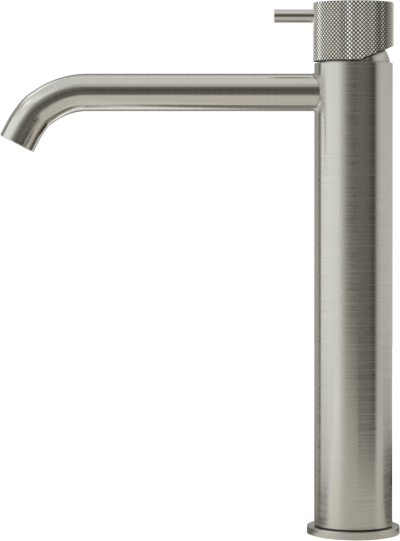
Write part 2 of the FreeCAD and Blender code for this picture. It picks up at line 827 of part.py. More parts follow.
def make_bent_tube(d):
    """The bent tube alone, with its inner end cut to the curve of the column's bore."""
    body = doc.addObject("PartDesign::Body", "bent_tube")
    start = d.column_bore_radius - d.tube_inside_length
    path = new_sketch(body, "path", "XZ_Plane")
    draw_spout_path(path, d, start)
    section = new_sketch(body, "section", "YZ_Plane", -start)
    draw_circle(section, 0, d.spout_level, d.spout_radius)
    draw_circle(section, 0, d.spout_level, d.spout_bore_radius)
    pipe = body.newObject("PartDesign::AdditivePipe", "bent_tube_pipe")
    pipe.Profile = section
    pipe.Spine = (path, [])
    saddle_height = d.spout_radius * 2 + 4
    sketch = new_sketch(body, "saddle", "XY_Plane", d.spout_level + saddle_height / 2)
    draw_circle(sketch, 0, 0, d.column_bore_radius)
    pocket(body, sketch, saddle_height)
    return body


def new_cylinder(name, radius, length, base, turned=0):
    """A plain round bar from base = (x, y, z), upright or turned about Y by an angle."""
    bar = doc.addObject("Part::Cylinder", name)
    bind(bar, "Radius", radius)
    bind(bar, "Height", length)
    bar.Placement = FreeCAD.Placement(FreeCAD.Vector(), FreeCAD.Rotation(
        FreeCAD.Vector(0, 1, 0), turned))
    for axis, size in zip("xyz", base):
        bind(bar, "Placement.Base." + axis, size)
    return bar


def make_weld_fillet(d):
    """The fillet of filler metal in the corner between the spout and the column."""
    half_height = d.spout_radius * 2
    column = new_cylinder("bead_column", d.column_radius, half_height * 2,
                          (0, 0, d.spout_level - half_height))
    spout = new_cylinder("bead_spout", d.spout_radius, d.column_radius * 2,
                         (0, 0, d.spout_level), -90)
    joined = doc.addObject("Part::Fuse", "bead_joined")
    joined.Base, joined.Tool = column, spout
    doc.recompute()
    corner_edges = []
    for number, edge in enumerate(joined.Shape.Edges, start=1):
        middle = edge.valueAt((edge.FirstParameter + edge.LastParameter) / 2)
        to_column = math.hypot(middle.x, middle.y) - d.column_radius.value
        to_spout = math.hypot(middle.y, middle.z - d.spout_level.value) - d.spout_radius.value
        if abs(to_column) < 0.01 and abs(to_spout) < 0.01:
            corner_edges.append((number, d.bead_radius.value, d.bead_radius.value))
    rounded = doc.addObject("Part::Fillet", "bead_rounded")
    rounded.Base = joined
    rounded.Edges = corner_edges
    off_column = doc.addObject("Part::Cut", "bead_off_column")
    off_column.Base, off_column.Tool = rounded, column
    fillet = doc.addObject("Part::Cut", "weld_fillet")
    fillet.Base, fillet.Tool = off_column, spout
    return fillet


def make_spout_tube(d):
    """The bent tube and the weld fillet that stays on it."""
    tube = doc.addObject("Part::Fuse", "spout_tube")
    tube.Base, tube.Tool = make_bent_tube(d), make_weld_fillet(d)
    tube.Label = "spout_tube"
    subparts.append(tube)


def put_in_outlet(thing, d, distance=0):
    """Moves a piece drawn round its own Z axis into the outlet, distance up the tube, +Z up it."""
    x, z, turned_down = spout_end(d)
    thing.Placement = FreeCAD.Placement(FreeCAD.Vector(), FreeCAD.Rotation(
        FreeCAD.Vector(0, 1, 0), 90 - turned_down.value))
    bind(thing, "Placement.Base.x", x + as_size(distance) * cosine(turned_down))
    bind(thing, "Placement.Base.z", z + as_size(distance) * sine(turned_down))
    thing.setExpression("Placement.Rotation.Angle", "(90 - %s) * 1 deg" % turned_down.text)


def make_aerator_housing(d, lip_top, sleeve_top):
    bore_radius = d.aerator_bore_radius + d.static_gap
    sleeve = new_body("aerator_housing")
    turn(sleeve, "sleeve", [
        (d.aerator_lip_radius, d.aerator_recess),
        (d.aerator_radius - d.edge_chamfer, d.aerator_recess),
        (d.aerator_radius, d.aerator_recess + d.edge_chamfer),
        (d.aerator_radius, sleeve_top),
        (bore_radius, sleeve_top),
        (bore_radius, lip_top),
        (d.aerator_lip_radius, lip_top),
    ])
    put_in_outlet(sleeve, d)


def make_aerator_flow_former(d, lip_top):
    former = new_body("aerator_flow_former")
    sketch = new_sketch(former, "plate", "XY_Plane", lip_top)
    draw_circle(sketch, 0, 0, d.aerator_bore_radius)
    for ring, count in enumerate((1, 6, 12)):
        ring_radius = d.former_hole_spacing * ring
        for hole in range(count):
            angle = as_size(360 * hole / count)
            draw_circle(sketch, ring_radius * cosine(angle), ring_radius * sine(angle),
                        d.former_hole_radius)
    pad(former, sketch, d.former_thickness)
    put_in_outlet(former, d)


def make_aerator(d):
    """The insert that fills the outlet: an outer sleeve, a drilled former, screens and a seal."""
    lip_top = d.aerator_recess + d.aerator_lip_height
    sleeve_top = d.aerator_recess + d.aerator_length
    make_aerator_housing(d, lip_top, sleeve_top)
    make_aerator_flow_former(d, lip_top)

    screens = []
    first_screen = lip_top + d.former_thickness + d.first_screen_gap
    for number in (0, 1):
        screen = doc.addObject("Part::Cylinder", "aerator_screen_%d" % (number + 1))
        bind(screen, "Radius", d.aerator_bore_radius)
        bind(screen, "Height", d.screen_thickness)
        put_in_outlet(screen, d, first_screen + d.screen_spacing * number)
        screens.append(screen)
    stack = doc.addObject("Part::Compound", "aerator_screens")
    stack.Label = "aerator_screens"
    stack.Links = screens
    subparts.append(stack)

    seal_bottom = sleeve_top + d.static_gap
    make_gasket("aerator_seal", d.aerator_lip_radius, d.aerator_radius, seal_bottom,
                seal_bottom + d.outlet_seal_height)
    put_in_outlet(subparts[-1], d)


def main():
    d = fill_sheet()
    make_base_flange(d)
    make_gaskets(d)
    make_column_shell(d)
    make_foot_insert(d)
    make_risers(d)
    make_valve_body(d)
    make_cartridge_base(d)
    make_discs(d)
    make_cartridge_housing(d)
    make_cartridge_nut(d)
    make_dome_cover(d)
    make_lever_carrier(d)
    make_spindle(d)
    make_handle_shell(d)
    make_lever_pin(d)
    make_spout_tube(d)
    make_aerator(d)
    doc.recompute()
    check_and_export()


def check_and_export():
    """Stops on any failed object or empty cut, then writes one STEP file per sub-part."""
    for thing in doc.Objects:
        if "Invalid" in thing.State or "Error" in thing.State:
            raise RuntimeError("%s failed: %s" % (thing.Name, thing.State))
        if thing.TypeId in ("PartDesign::Pocket", "PartDesign::Groove"):
            before = thing.BaseFeature.Shape.Volume
            if thing.Shape.Volume > before - 0.01:
                raise RuntimeError("%s cuts nothing" % thing.Name)
    os.makedirs("parts", exist_ok=True)
    for subpart in subparts:
        shape = subpart.Shape
        if shape.isNull() or not shape.isValid():
            raise RuntimeError("%s has no valid shape" % subpart.Label)
        print("%-24s %9.1f mm3  solids %d" % (subpart.Label, shape.Volume, len(shape.Solids)))
        shape.exportStep("parts/%s.step" % subpart.Label)


main()
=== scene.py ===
"""The looks of a tall single-lever basin mixer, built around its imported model, in metres.

The column stands on the origin with +Z up, and the spout and the pin lever point towards -X.
"""
import json
import math

import bmesh
import bpy
from bpy.props import FloatProperty, FloatVectorProperty, IntProperty, PointerProperty
from mathutils import Matrix, Vector


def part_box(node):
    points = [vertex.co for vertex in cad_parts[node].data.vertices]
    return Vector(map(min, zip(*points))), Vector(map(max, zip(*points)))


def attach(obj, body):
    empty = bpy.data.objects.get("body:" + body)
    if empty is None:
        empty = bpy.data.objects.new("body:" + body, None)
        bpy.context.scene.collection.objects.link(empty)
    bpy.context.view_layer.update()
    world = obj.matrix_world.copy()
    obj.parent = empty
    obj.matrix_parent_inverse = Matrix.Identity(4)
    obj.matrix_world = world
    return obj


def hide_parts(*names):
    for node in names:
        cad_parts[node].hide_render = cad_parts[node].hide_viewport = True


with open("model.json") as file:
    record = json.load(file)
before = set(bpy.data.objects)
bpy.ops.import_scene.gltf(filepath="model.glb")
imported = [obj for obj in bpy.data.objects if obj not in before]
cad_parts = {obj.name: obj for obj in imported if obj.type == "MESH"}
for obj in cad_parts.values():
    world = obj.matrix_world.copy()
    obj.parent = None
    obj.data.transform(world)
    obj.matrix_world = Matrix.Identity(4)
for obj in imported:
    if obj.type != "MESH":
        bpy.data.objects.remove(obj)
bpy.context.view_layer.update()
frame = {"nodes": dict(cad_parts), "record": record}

bl_info = {
    "name": "Basin Mixer",
    "version": (1, 0, 0),
    "blender": (4, 5, 0),
    "location": "3D Viewport > Sidebar > Basin Mixer",
    "description": "Builds the visible surfaces and finishes of a tall basin mixer tap",
    "category": "Object",
}

MM = 0.001
ROUND_STEPS, SPOUT_STEPS = 256, 128
X_AXIS, Z_AXIS = Vector((1, 0, 0)), Vector((0, 0, 1))

# The outer tubes and turned parts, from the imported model's own boxes
FLANGE_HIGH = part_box("base_flange")[1]
COLUMN_LOW, COLUMN_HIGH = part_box("column_shell")
DOME_LOW, DOME_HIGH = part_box("dome_cover")
HANDLE_LOW, HANDLE_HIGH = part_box("handle_shell")
LEVER_LOW, LEVER_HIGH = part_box("lever_pin")
COLUMN_RADIUS = COLUMN_HIGH.x
COLUMN_BORE = 20.0 * MM
HANDLE_RADIUS = HANDLE_HIGH.y
LEVER_RADIUS = LEVER_HIGH.y
LEVER_LEVEL = (LEVER_LOW.z + LEVER_HIGH.z) / 2

# The spout's centre line: level as far as SPOUT_RUN, then a bend and a straight three times
SPOUT_LEVEL = 259.25 * MM
SPOUT_RADIUS = 11.0 * MM
SPOUT_BORE = 9.5 * MM
SPOUT_RUN = 156.4 * MM
SPOUT_BENDS = (
    # radius, angle in degrees, straight after it
    (43.9 * MM, 33.6, 3.8 * MM),
    (18.2 * MM, 20.8, 3.8 * MM),
    (45.5 * MM, 8.2, 8.3 * MM),
)


def hex_colour(text):
    """The linear colour, with alpha, of an sRGB hex value such as #D4D0C6."""
    levels = [int(text[i:i + 2], 16) / 255 for i in (1, 3, 5)]
    linear = [v / 12.92 if v <= 0.04045 else ((v + 0.055) / 1.055) ** 2.4 for v in levels]
    return (*linear, 1.0)


def colour_property(name, description, text):
    return FloatVectorProperty(name=name, description=description, default=hex_colour(text),
                               subtype="COLOR", size=4, min=0, max=1)


def length_property(name, description, default, largest):
    return FloatProperty(name=name, description=description, default=default, min=0,
                         max=largest, unit="LENGTH", subtype="DISTANCE", precision=5)


class MixerSizes(bpy.types.PropertyGroup):
    knurl_columns: IntProperty(
        name="Knurl columns", default=124, min=16, max=400, step=2,
        description="Half diamonds around the handle, an even number")
    knurl_row: length_property(
        "Knurl row", "Height of half a diamond", 1.2 * MM, 0.01)
    knurl_depth: length_property(
        "Knurl depth", "From the groove's bottom to the diamond's flat top", 0.50 * MM, 0.002)
    edge_round: length_property(
        "Edge rounding", "Radius of the broken edges of the turned parts", 0.35 * MM, 0.002)
    weld_radius: length_property(
        "Weld radius", "Radius of the blended weld between spout and column", 0.7 * MM, 0.005)
    mesh_cell: length_property(
        "Outlet cell", "Distance between the cells of the outlet's honeycomb", 1.5 * MM, 0.01)
    brush_width: length_property(
        "Brush mark width", "Width of one mark left by the brush", 0.55 * MM, 0.005)
    brush_length: length_property(
        "Brush mark length", "Length of one mark left by the brush", 40 * MM, 0.2)


class MixerColours(bpy.types.PropertyGroup):
    nickel: colour_property("Nickel", "Colour of the brushed nickel plate", "#D6D2C8")
    brass: colour_property("Brass", "Colour of the machined brass", "#CBA765")
    copper: colour_property("Copper", "Colour of the copper tubes", "#C58263")
    steel: colour_property("Steel", "Colour of the stainless steel", "#C2C1BD")
    rubber: colour_property("Rubber", "Colour of the rubber rings and gaskets", "#1B1B1C")
    acetal: colour_property("Acetal", "Colour of the cartridge's moulded acetal", "#DAD9D2")
    nylon: colour_property("Nylon", "Colour of the glass-filled nylon parts", "#43474C")
    alumina: colour_property("Alumina", "Colour of the ceramic discs", "#ECE9DD")
    outlet: colour_property("Outlet", "Colour of the outlet's moulded insert", "#2B2D2F")


# Node trees

def add(tree, kind, inputs=None, **settings):
    """Adds a node. inputs maps its sockets to a value, or to the socket that feeds them."""
    node = tree.nodes.new(kind)
    for name, value in settings.items():
        setattr(node, name, value)
    for socket, value in (inputs or {}).items():
        if isinstance(value, bpy.types.NodeSocket):
            tree.links.new(value, node.inputs[socket])
        else:
            node.inputs[socket].default_value = value
    return node


def calc(tree, operation, first, second=0.0):
    return add(tree, "ShaderNodeMath", {0: first, 1: second}, operation=operation).outputs[0]


def vector_calc(tree, operation, first, second=(0, 0, 0)):
    """The same for vectors. SCALE takes a number, and LENGTH and DOT_PRODUCT give one."""
    node = add(tree, "ShaderNodeVectorMath",
               {0: first, 3 if operation == "SCALE" else 1: second}, operation=operation)
    return node.outputs["Value" if operation in ("LENGTH", "DOT_PRODUCT") else "Vector"]


def set_stops(ramp_node, stops, low, high):
    """Sets a colour ramp's grey stops, given as (place, level) with places from low to high."""
    elements = ramp_node.color_ramp.elements
    while len(elements) > 1:
        elements.remove(elements[-1])
    for index, (place, level) in enumerate(stops):
        share = (place - low) / (high - low)
        element = elements[0] if index == 0 else elements.new(share)
        element.position = share
        element.color = (level, level, level, 1)


def new_material(name):
    material = bpy.data.materials.new(name)
    material.use_nodes = True
    material.node_tree.nodes.clear()
    return material, material.node_tree


def finish_material(tree, colour, tone, rough, height, relief, metallic=1.0, more=None):
    """Ends a material. The tone multiplies its colour, and height shows as a relief in metres."""
    shader = add(tree, "ShaderNodeBsdfPrincipled", {
        "Base Color": vector_calc(tree, "SCALE", tuple(colour)[:3], tone),
        "Metallic": metallic,
        "Roughness": rough,
        "Normal": add(tree, "ShaderNodeBump", {
            "Height": height, "Distance": relief, "Strength": 1.0}).outputs["Normal"],
        **(more or {})})
    add(tree, "ShaderNodeOutputMaterial", {"Surface": shader.outputs[0]})


def noise(tree, vector, scale, detail=2.0, rough=0.5):
    node = add(tree, "ShaderNodeTexNoise",
               {"Vector": vector, "Scale": scale, "Detail": detail, "Roughness": rough})
    return node.outputs["Fac"]


def spread(tree, value, low, high, from_low=0.3, from_high=0.7):
    """Maps a pattern's middle range to low..high."""
    node = add(tree, "ShaderNodeMapRange", {
        "Value": value, "From Min": from_low, "From Max": from_high,
        "To Min": low, "To Max": high})
    return node.outputs["Result"]


def object_place(tree, centre=(0, 0, 0)):
    """Object coordinates in metres, measured from centre."""
    place = add(tree, "ShaderNodeTexCoord").outputs["Object"]
    return vector_calc(tree, "SUBTRACT", place, centre)


def turned_marks(tree, axis, centre, width, length):
    """A vector in which marks that run round an axis are width wide and length long.

    Across the marks it counts the way along the turned profile: up its sides and out on its ends.
    """
    place = object_place(tree, centre)
    flat = vector_calc(tree, "MULTIPLY", place, Vector((1, 1, 1)) - axis)
    along = calc(tree, "ADD", vector_calc(tree, "DOT_PRODUCT", place, axis),
                 vector_calc(tree, "LENGTH", flat))
    across = calc(tree, "MULTIPLY", along, 1 / width)
    return vector_calc(tree, "ADD", vector_calc(tree, "SCALE", axis, across),
                       vector_calc(tree, "SCALE", flat, 1 / length))


def brushed_nickel(name, colours, sizes, axis=None, centre=(0, 0, 0), rough=(0.16, 0.29)):
    """Satin nickel plate on brass, brushed with an abrasive belt while the part turns.

    The marks run round the part, so a reflection is drawn out along it: soft stripes lengthwise
    and fine rings across them. Without an axis the marks follow the part's own brush attribute.
    """
    material, tree = new_material(name)
    if axis is None:
        brush = add(tree, "ShaderNodeAttribute", attribute_name="brush").outputs["Vector"]
        width, length = sizes.brush_width, sizes.brush_length
        marks = vector_calc(tree, "MULTIPLY", brush, (1 / width, 1 / length, 1 / length))
        tangent = add(tree, "ShaderNodeTangent", direction_type="UV_MAP", uv_map="brush_uv")
        turn = 0.0
    else:
        marks = turned_marks(tree, axis, centre, sizes.brush_width, sizes.brush_length)
        tangent = add(tree, "ShaderNodeTangent", direction_type="RADIAL",
                      axis="XYZ"[max(range(3), key=lambda i: axis[i])])
        turn = 0.25
    fine = noise(tree, marks, 1.0, rough=0.6)
    finish_material(tree, colours.nickel, spread(tree, fine, 0.95, 1.03),
                    spread(tree, fine, *rough), fine, 0.006 * MM, more={
                        "Anisotropic": 0.8,
                        "Anisotropic Rotation": turn,
                        "Tangent": tangent.outputs["Tangent"]})
    return material


def knurled_nickel(colours, sizes):
    """Satin nickel on rolled diamond knurling. Its colour is painted highlight and painted shade:
    brighter than the plate's nickel on the peaks, nearly black in the grooves; the peaks are
    smoother."""
    material, tree = new_material("knurled_nickel_painted_shade_highlight")
    place = object_place(tree)
    reach = vector_calc(tree, "LENGTH", vector_calc(tree, "MULTIPLY", place, (1, 1, 0)))
    height = spread(tree, reach, 0.0, 1.0, HANDLE_RADIUS - sizes.knurl_depth, HANDLE_RADIUS)
    grain = noise(tree, place, 1 / (0.35 * MM))
    # Painted shade, nearly black, in the groove, and a painted highlight, 1.45 times the nickel,
    # from half the diamond's height
    tone = calc(tree, "MULTIPLY", spread(tree, height, 0.01, 1.45, 0.14, 0.50),
                spread(tree, grain, 0.95, 1.03))
    finish_material(tree, colours.nickel, tone, spread(tree, height, 0.20, 0.10, 0.0, 1.0),
                    grain, 0.004 * MM)
    return material


def grained_nickel(name, colours, grain_size, tone, rough, relief):
    """Nickel plate over a fine grain that has no direction."""
    material, tree = new_material(name)
    grain = noise(tree, object_place(tree), 1 / grain_size, detail=3.0)
    finish_material(tree, colours.nickel, spread(tree, grain, *tone), spread(tree, grain, *rough),
                    grain, relief)
    return material


def blended_weld(colours):
    """Filler metal blended by hand with a small abrasive wheel, then plated: satin and even. Its
    colour is darkened to about two thirds of the nickel: painted shade in the corner.
    """
    return grained_nickel("nickel_blended_weld_painted_shade", colours, 0.8 * MM, (0.58, 0.70), (0.26, 0.36),
                          0.01 * MM)


def painted_shade_nickel(colours):
    """Painted shade for the faces inside the handle and under the column's foot: a dull nickel
    painted dark, so that both edges read as dark lines."""
    # Painted shade: the nickel at a tenth to a sixth of its colour
    return grained_nickel("nickel_painted_shade_inside", colours, 0.5 * MM, (0.10, 0.16),
                          (0.42, 0.52), 0.006 * MM)


def machined_metal(name, colour, groove, rough_low, rough_high):
    """Metal turned on a lathe: faint rings at the tool's feed, over an even dull shine."""
    material, tree = new_material(name)
    rings = noise(tree, turned_marks(tree, Z_AXIS, (0, 0, 0), groove, 30 * MM), 1.0)
    tarnish = noise(tree, object_place(tree), 1 / (9 * MM), detail=4.0)
    finish_material(tree, colour, spread(tree, tarnish, 0.86, 1.0),
                    spread(tree, rings, rough_low, rough_high), rings, 0.008 * MM)
    return material


def drawn_copper(colours):
    """Hard-drawn copper tube: faint lines along the tube from the die, and a patchy brown bloom."""
    material, tree = new_material("copper_drawn")
    place = object_place(tree)
    across, along = 1 / (0.3 * MM), 1 / (40 * MM)
    marks = noise(tree, vector_calc(tree, "MULTIPLY", place, (across, across, along)), 1.0)
    bloom = noise(tree, place, 1 / (12 * MM), detail=4.0, rough=0.6)
    finish_material(tree, colours.copper, spread(tree, bloom, 0.7, 1.0),
                    spread(tree, bloom, 0.42, 0.26), marks, 0.005 * MM)
    return material


def moulded(name, colour, grain_size, rough, relief, fleck=0.04):
    """Moulded plastic or rubber: even colour, with the fine matt grain of the mould's steel."""
    material, tree = new_material(name)
    place = object_place(tree)
    grain = noise(tree, place, 1 / grain_size)
    cloud = noise(tree, place, 1 / (6 * MM))
    finish_material(tree, colour, spread(tree, cloud, 1.0 - fleck, 1.0),
                    spread(tree, grain, rough - 0.05, rough + 0.07), grain, relief, metallic=0.0)
    return material


def make_slot_materials(colours):
    """One finish for each of the record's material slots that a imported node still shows."""
    return {
        # C3604 free-cutting brass, turned and drilled
        "brass": machined_metal("brass_machined", colours.brass, 0.22 * MM, 0.24, 0.36),
        "copper": drawn_copper(colours),
        # 304 stainless bar, turned
        "steel": machined_metal("stainless_steel_turned", colours.steel, 0.15 * MM, 0.2, 0.3),
        # EPDM rubber, pressed in a mould: nearly matt, a little dusty
        "black_rubber": moulded("rubber_epdm_moulded", colours.rubber,
                                0.25 * MM, 0.62, 0.012 * MM, 0.3),
        # Acetal is slippery and slightly waxy
        "cartridge_plastic": moulded("acetal_moulded", colours.acetal,
                                     0.3 * MM, 0.38, 0.004 * MM),
        # Glass fibres show as a faint mottle
        "carrier_plastic": moulded("nylon_glass_filled_moulded", colours.nylon,
                                   0.5 * MM, 0.48, 0.01 * MM, 0.18),
        # Alumina lapped flat: very smooth, with a soft gloss
        "ceramic": moulded("alumina_lapped", colours.alumina, 0.12 * MM, 0.16, 0.001 * MM, 0.03),
        "aerator_plastic": moulded("abs_moulded", colours.outlet, 0.3 * MM, 0.34, 0.004 * MM),
    }


# Meshes

def new_object(name, points, faces):
    mesh = bpy.data.meshes.new(name)
    mesh.from_pydata([tuple(p) for p in points], [], faces)
    thing = bpy.data.objects.new(name, mesh)
    bpy.context.scene.collection.objects.link(thing)
    return thing


def skin(name, rings):
    """Joins rings of points into one closed surface, the last ring to the first.

    Every ring has as many points, but for a pole, which is a ring of one.
    """
    points, starts, faces = [], [], []
    for ring in rings:
        starts.append(len(points))
        points += ring
    for a in range(len(rings)):
        b = (a + 1) % len(rings)
        steps = max(len(rings[a]), len(rings[b]))
        for j in range(steps if steps > 1 else 0):
            quad = [starts[s] + i % len(rings[s])
                    for s, i in ((a, j), (a, j + 1), (b, j + 1), (b, j))]
            faces.append(list(dict.fromkeys(quad)))
    thing = new_object(name, points, faces)
    face_outwards(thing)
    return thing


def edit_mesh(thing, change):
    """Changes a mesh, given as a bmesh, and then turns its faces outwards."""
    shape = bmesh.new()
    shape.from_mesh(thing.data)
    change(shape)
    bmesh.ops.recalc_face_normals(shape, faces=shape.faces)
    shape.to_mesh(thing.data)
    shape.free()


def face_outwards(thing):
    edit_mesh(thing, lambda shape: bmesh.ops.remove_doubles(shape, verts=shape.verts, dist=1e-7))


def rounded(corners, steps=6, support=0.2 * MM):
    """The points of a closed outline whose corners, given as (across, up, radius), are rounded.

    A point a little past each arc keeps the flats shaded flat.
    """
    outline = []
    for index, (across, up, radius) in enumerate(corners):
        corner = Vector((across, up))
        if radius <= 0:
            outline.append(corner)
            continue
        before = Vector(corners[index - 1][:2]) - corner
        after = Vector(corners[(index + 1) % len(corners)][:2]) - corner
        into, out = before.normalized(), after.normalized()
        half = into.angle(out) / 2
        back = radius / math.tan(half)
        centre = corner + (into + out).normalized() * (radius / math.sin(half))
        first, last = corner + into * back, corner + out * back
        if before.length > back + support:
            outline.append(first + into * support)
        start = math.atan2(*(first - centre).yx)
        sweep = (math.atan2(*(last - centre).yx) - start + math.pi) % (2 * math.pi) - math.pi
        for step in range(steps + 1):
            angle = start + sweep * step / steps
            outline.append(centre + Vector((math.cos(angle), math.sin(angle))) * radius)
        if after.length > back + support:
            outline.append(last + out * support)
    return outline


def circle(radius, steps):
    """The two coordinates of points on a circle, once round."""
    angles = [2 * math.pi * step / steps for step in range(steps)]
    return [(radius * math.cos(angle), radius * math.sin(angle)) for angle in angles]


def lathe(name, outline, axis=Z_AXIS, level=0.0, steps=ROUND_STEPS):
    """Turns an outline of (radius, way along the axis) points round the Z axis, or round a line
    parallel to X at a level."""
    rings = []
    for radius, along in outline:
        ring = circle(radius, steps if radius > 0 else 1)
        rings.append([(a, b, along) if axis is Z_AXIS else (along, a, level + b)
                      for a, b in ring])
    return skin(name, rings)


def cross_bore(name, radius, start, end, level, steps):
    """A rod along X, from start to end, that bores a round hole."""
    return lathe(name, [(0, start), (radius, start), (radius, end), (0, end)], X_AXIS, level, steps)


def carve(thing, tool, operation):
    """Cuts, or keeps only, what the tool fills. The tool's own faces keep their material index."""
    modifier = thing.modifiers.new("carve", "BOOLEAN")
    modifier.operation, modifier.solver, modifier.object = operation, "EXACT", tool
    freeze(thing)
    bpy.data.objects.remove(tool)


def freeze(thing):
    """Turns what the modifiers show into the object's own plain mesh."""
    graph = bpy.context.evaluated_depsgraph_get()
    mesh = bpy.data.meshes.new_from_object(thing.evaluated_get(graph))
    thing.modifiers.clear()
    thing.data = mesh
    mesh.name = thing.name


def grow(name, tree, values):
    """Runs a geometry node tree with the values for its named inputs, and keeps its mesh.

    The mesh starts with an empty slot before the tree's own, so its slots are set anew later.
    """
    thing = new_object(name, [], [])
    modifier = thing.modifiers.new("grow", "NODES")
    modifier.node_group = tree
    for socket in tree.interface.items_tree:
        if socket.in_out == "INPUT":
            modifier[socket.identifier] = values[socket.name]
    freeze(thing)
    thing.data.materials.clear()
    return thing


def settle(thing, body, materials, nodes=(), sharp=30):
    """Shades a finished piece and ties it to its body and the nodes it stands for."""
    for material in materials:
        thing.data.materials.append(material)
    thing.data.shade_smooth()
    thing.data.set_sharp_from_angle(angle=math.radians(sharp))
    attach(thing, body)
    if nodes:
        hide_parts(*nodes)


# The pieces

def make_column(sizes, finish, shaded):
    """The column: its foot is cut back a little, and the cut's faces are painted with shade,
    which together draw the dark line over the flange.
    """
    low, high, edge = COLUMN_LOW.z, COLUMN_HIGH.z, sizes.edge_round
    foot, cut = COLUMN_RADIUS - 0.45 * MM, low + 0.4 * MM
    column = lathe("column_tube", rounded([
        (COLUMN_BORE, low, 0), (foot, low, 0), (foot, cut, 0), (COLUMN_RADIUS, cut, edge / 4),
        (COLUMN_RADIUS, high, edge), (COLUMN_BORE, high, 0)]))
    carve(column, cross_bore("spout_hole", SPOUT_RADIUS, -COLUMN_RADIUS * 1.2, 0, SPOUT_LEVEL, 96),
          "DIFFERENCE")
    # The faces of the foot's cut get the second finish, which is painted shade
    for face in column.data.polygons:
        across = math.hypot(face.center.x, face.center.y)
        if face.center.z < cut + 0.02 * MM and across > foot - 0.1 * MM:
            face.material_index = 1
    settle(column, "faucet_body", [finish, shaded], ["column_shell"])


def make_flange(sizes, finish):
    bore, edge = 19.4 * MM, sizes.edge_round
    groove_in, groove_out, groove_top = 21.2 * MM, 24.8 * MM, 1.2 * MM
    flange = lathe("base_ring", rounded([
        (bore, 0, 0), (groove_in, 0, 0), (groove_in, groove_top, 0), (groove_out, groove_top, 0),
        (groove_out, 0, 0), (FLANGE_HIGH.x, 0, edge / 2), (FLANGE_HIGH.x, FLANGE_HIGH.z, edge),
        (bore, FLANGE_HIGH.z, 0)]))
    settle(flange, "faucet_body", [finish], ["base_flange"])


def make_dome(finish):
    """The ball-shaped cover under the handle, with a spigot that stands in the column."""
    outer, inner, mouth = 22.0 * MM, 20.6 * MM, 14.0 * MM
    spigot, spigot_bore, arc_steps = 19.9 * MM, 18.6 * MM, 24
    centre = DOME_HIGH.z - math.sqrt(outer ** 2 - mouth ** 2)
    # A narrow dark groove shows between the column's top and the ball
    ball_low = COLUMN_HIGH.z + 0.55 * MM
    outline = [Vector((spigot_bore, DOME_LOW.z)), Vector((spigot, DOME_LOW.z)),
               Vector((spigot, ball_low))]

    def arc(radius, start, finish_across):
        """Points on the ball from one height to where it is finish_across wide."""
        first = math.asin((start - centre) / radius)
        last = math.acos(finish_across / radius)
        return [Vector((radius * math.cos(a), centre + radius * math.sin(a)))
                for a in (first + (last - first) * i / arc_steps for i in range(arc_steps + 1))]

    outline += arc(outer, ball_low, mouth)
    outline += arc(inner, centre + math.sqrt(inner ** 2 - spigot_bore ** 2), mouth)[::-1]
    dome = lathe("ball_cover", outline)
    settle(dome, "faucet_body", [finish], ["dome_cover"])


def spout_stations():
    """Points on the spout's centre line as (way along, x, z, turned down in radians)."""
    x, z, turned, way = -SPOUT_RUN, SPOUT_LEVEL, 0.0, SPOUT_RUN
    least_steps, degrees_a_step = 8, 1.4
    stations = [(way * share, -way * share, z, 0.0) for share in (0.25, 0.5, 0.75, 1.0)]
    for radius, angle, straight in SPOUT_BENDS:
        steps = max(least_steps, round(angle / degrees_a_step))
        step_angle = math.radians(angle) / steps
        for _ in range(steps):
            chord = 2 * radius * math.sin(step_angle / 2)
            heading = turned + step_angle / 2
            x, z = x - chord * math.cos(heading), z - chord * math.sin(heading)
            turned += step_angle
            way += radius * step_angle
            stations.append((way, x, z, turned))
        x, z = x - straight * math.cos(turned), z - straight * math.sin(turned)
        way += straight
        stations.append((way, x, z, turned))
    return stations


def spout_ring(station, radius, back=0.0):
    """A ring round the centre line, moved back up the tube from its station."""
    _, x, z, turned = station
    x, z = x + back * math.cos(turned), z + back * math.sin(turned)
    return [(x - up * math.sin(turned), side, z + up * math.cos(turned))
            for side, up in circle(radius, SPOUT_STEPS)]


def saddle_ring(radius, tube_radius):
    """Where the spout's level part meets an upright cylinder of tube_radius."""
    return [(-math.sqrt(tube_radius ** 2 - side ** 2), side, SPOUT_LEVEL + up)
            for side, up in circle(radius, SPOUT_STEPS)]


def mark_brush_way(thing, rings, ways):
    """Gives a tube the attribute and the UV map that its brush marks follow.

    The attribute is (way along the tube, two ways across it), and U runs along the tube.
    """
    values, angles = [], []
    for ring, way in zip(rings, ways):
        centre = sum((Vector(p) for p in ring), Vector()) / len(ring)
        for step, point in enumerate(ring):
            angle = 2 * math.pi * step / len(ring)
            radius = (Vector(point) - centre).length
            values.append((way, radius * math.cos(angle), radius * math.sin(angle)))
            angles.append(step / len(ring))
    mesh, u_per_metre = thing.data, 10
    attribute = mesh.attributes.new("brush", "FLOAT_VECTOR", "POINT")
    for index, value in enumerate(values):
        attribute.data[index].vector = value
    layer = mesh.uv_layers.new(name="brush_uv")
    for face in mesh.polygons:
        turns = [angles[v] for v in face.vertices]
        past_seam = max(turns) - min(turns) > 0.5
        for loop, vertex, turn in zip(face.loop_indices, face.vertices, turns):
            around = turn + 1 if past_seam and turn < 0.5 else turn
            layer.data[loop].uv = (values[vertex][0] * u_per_metre, around)


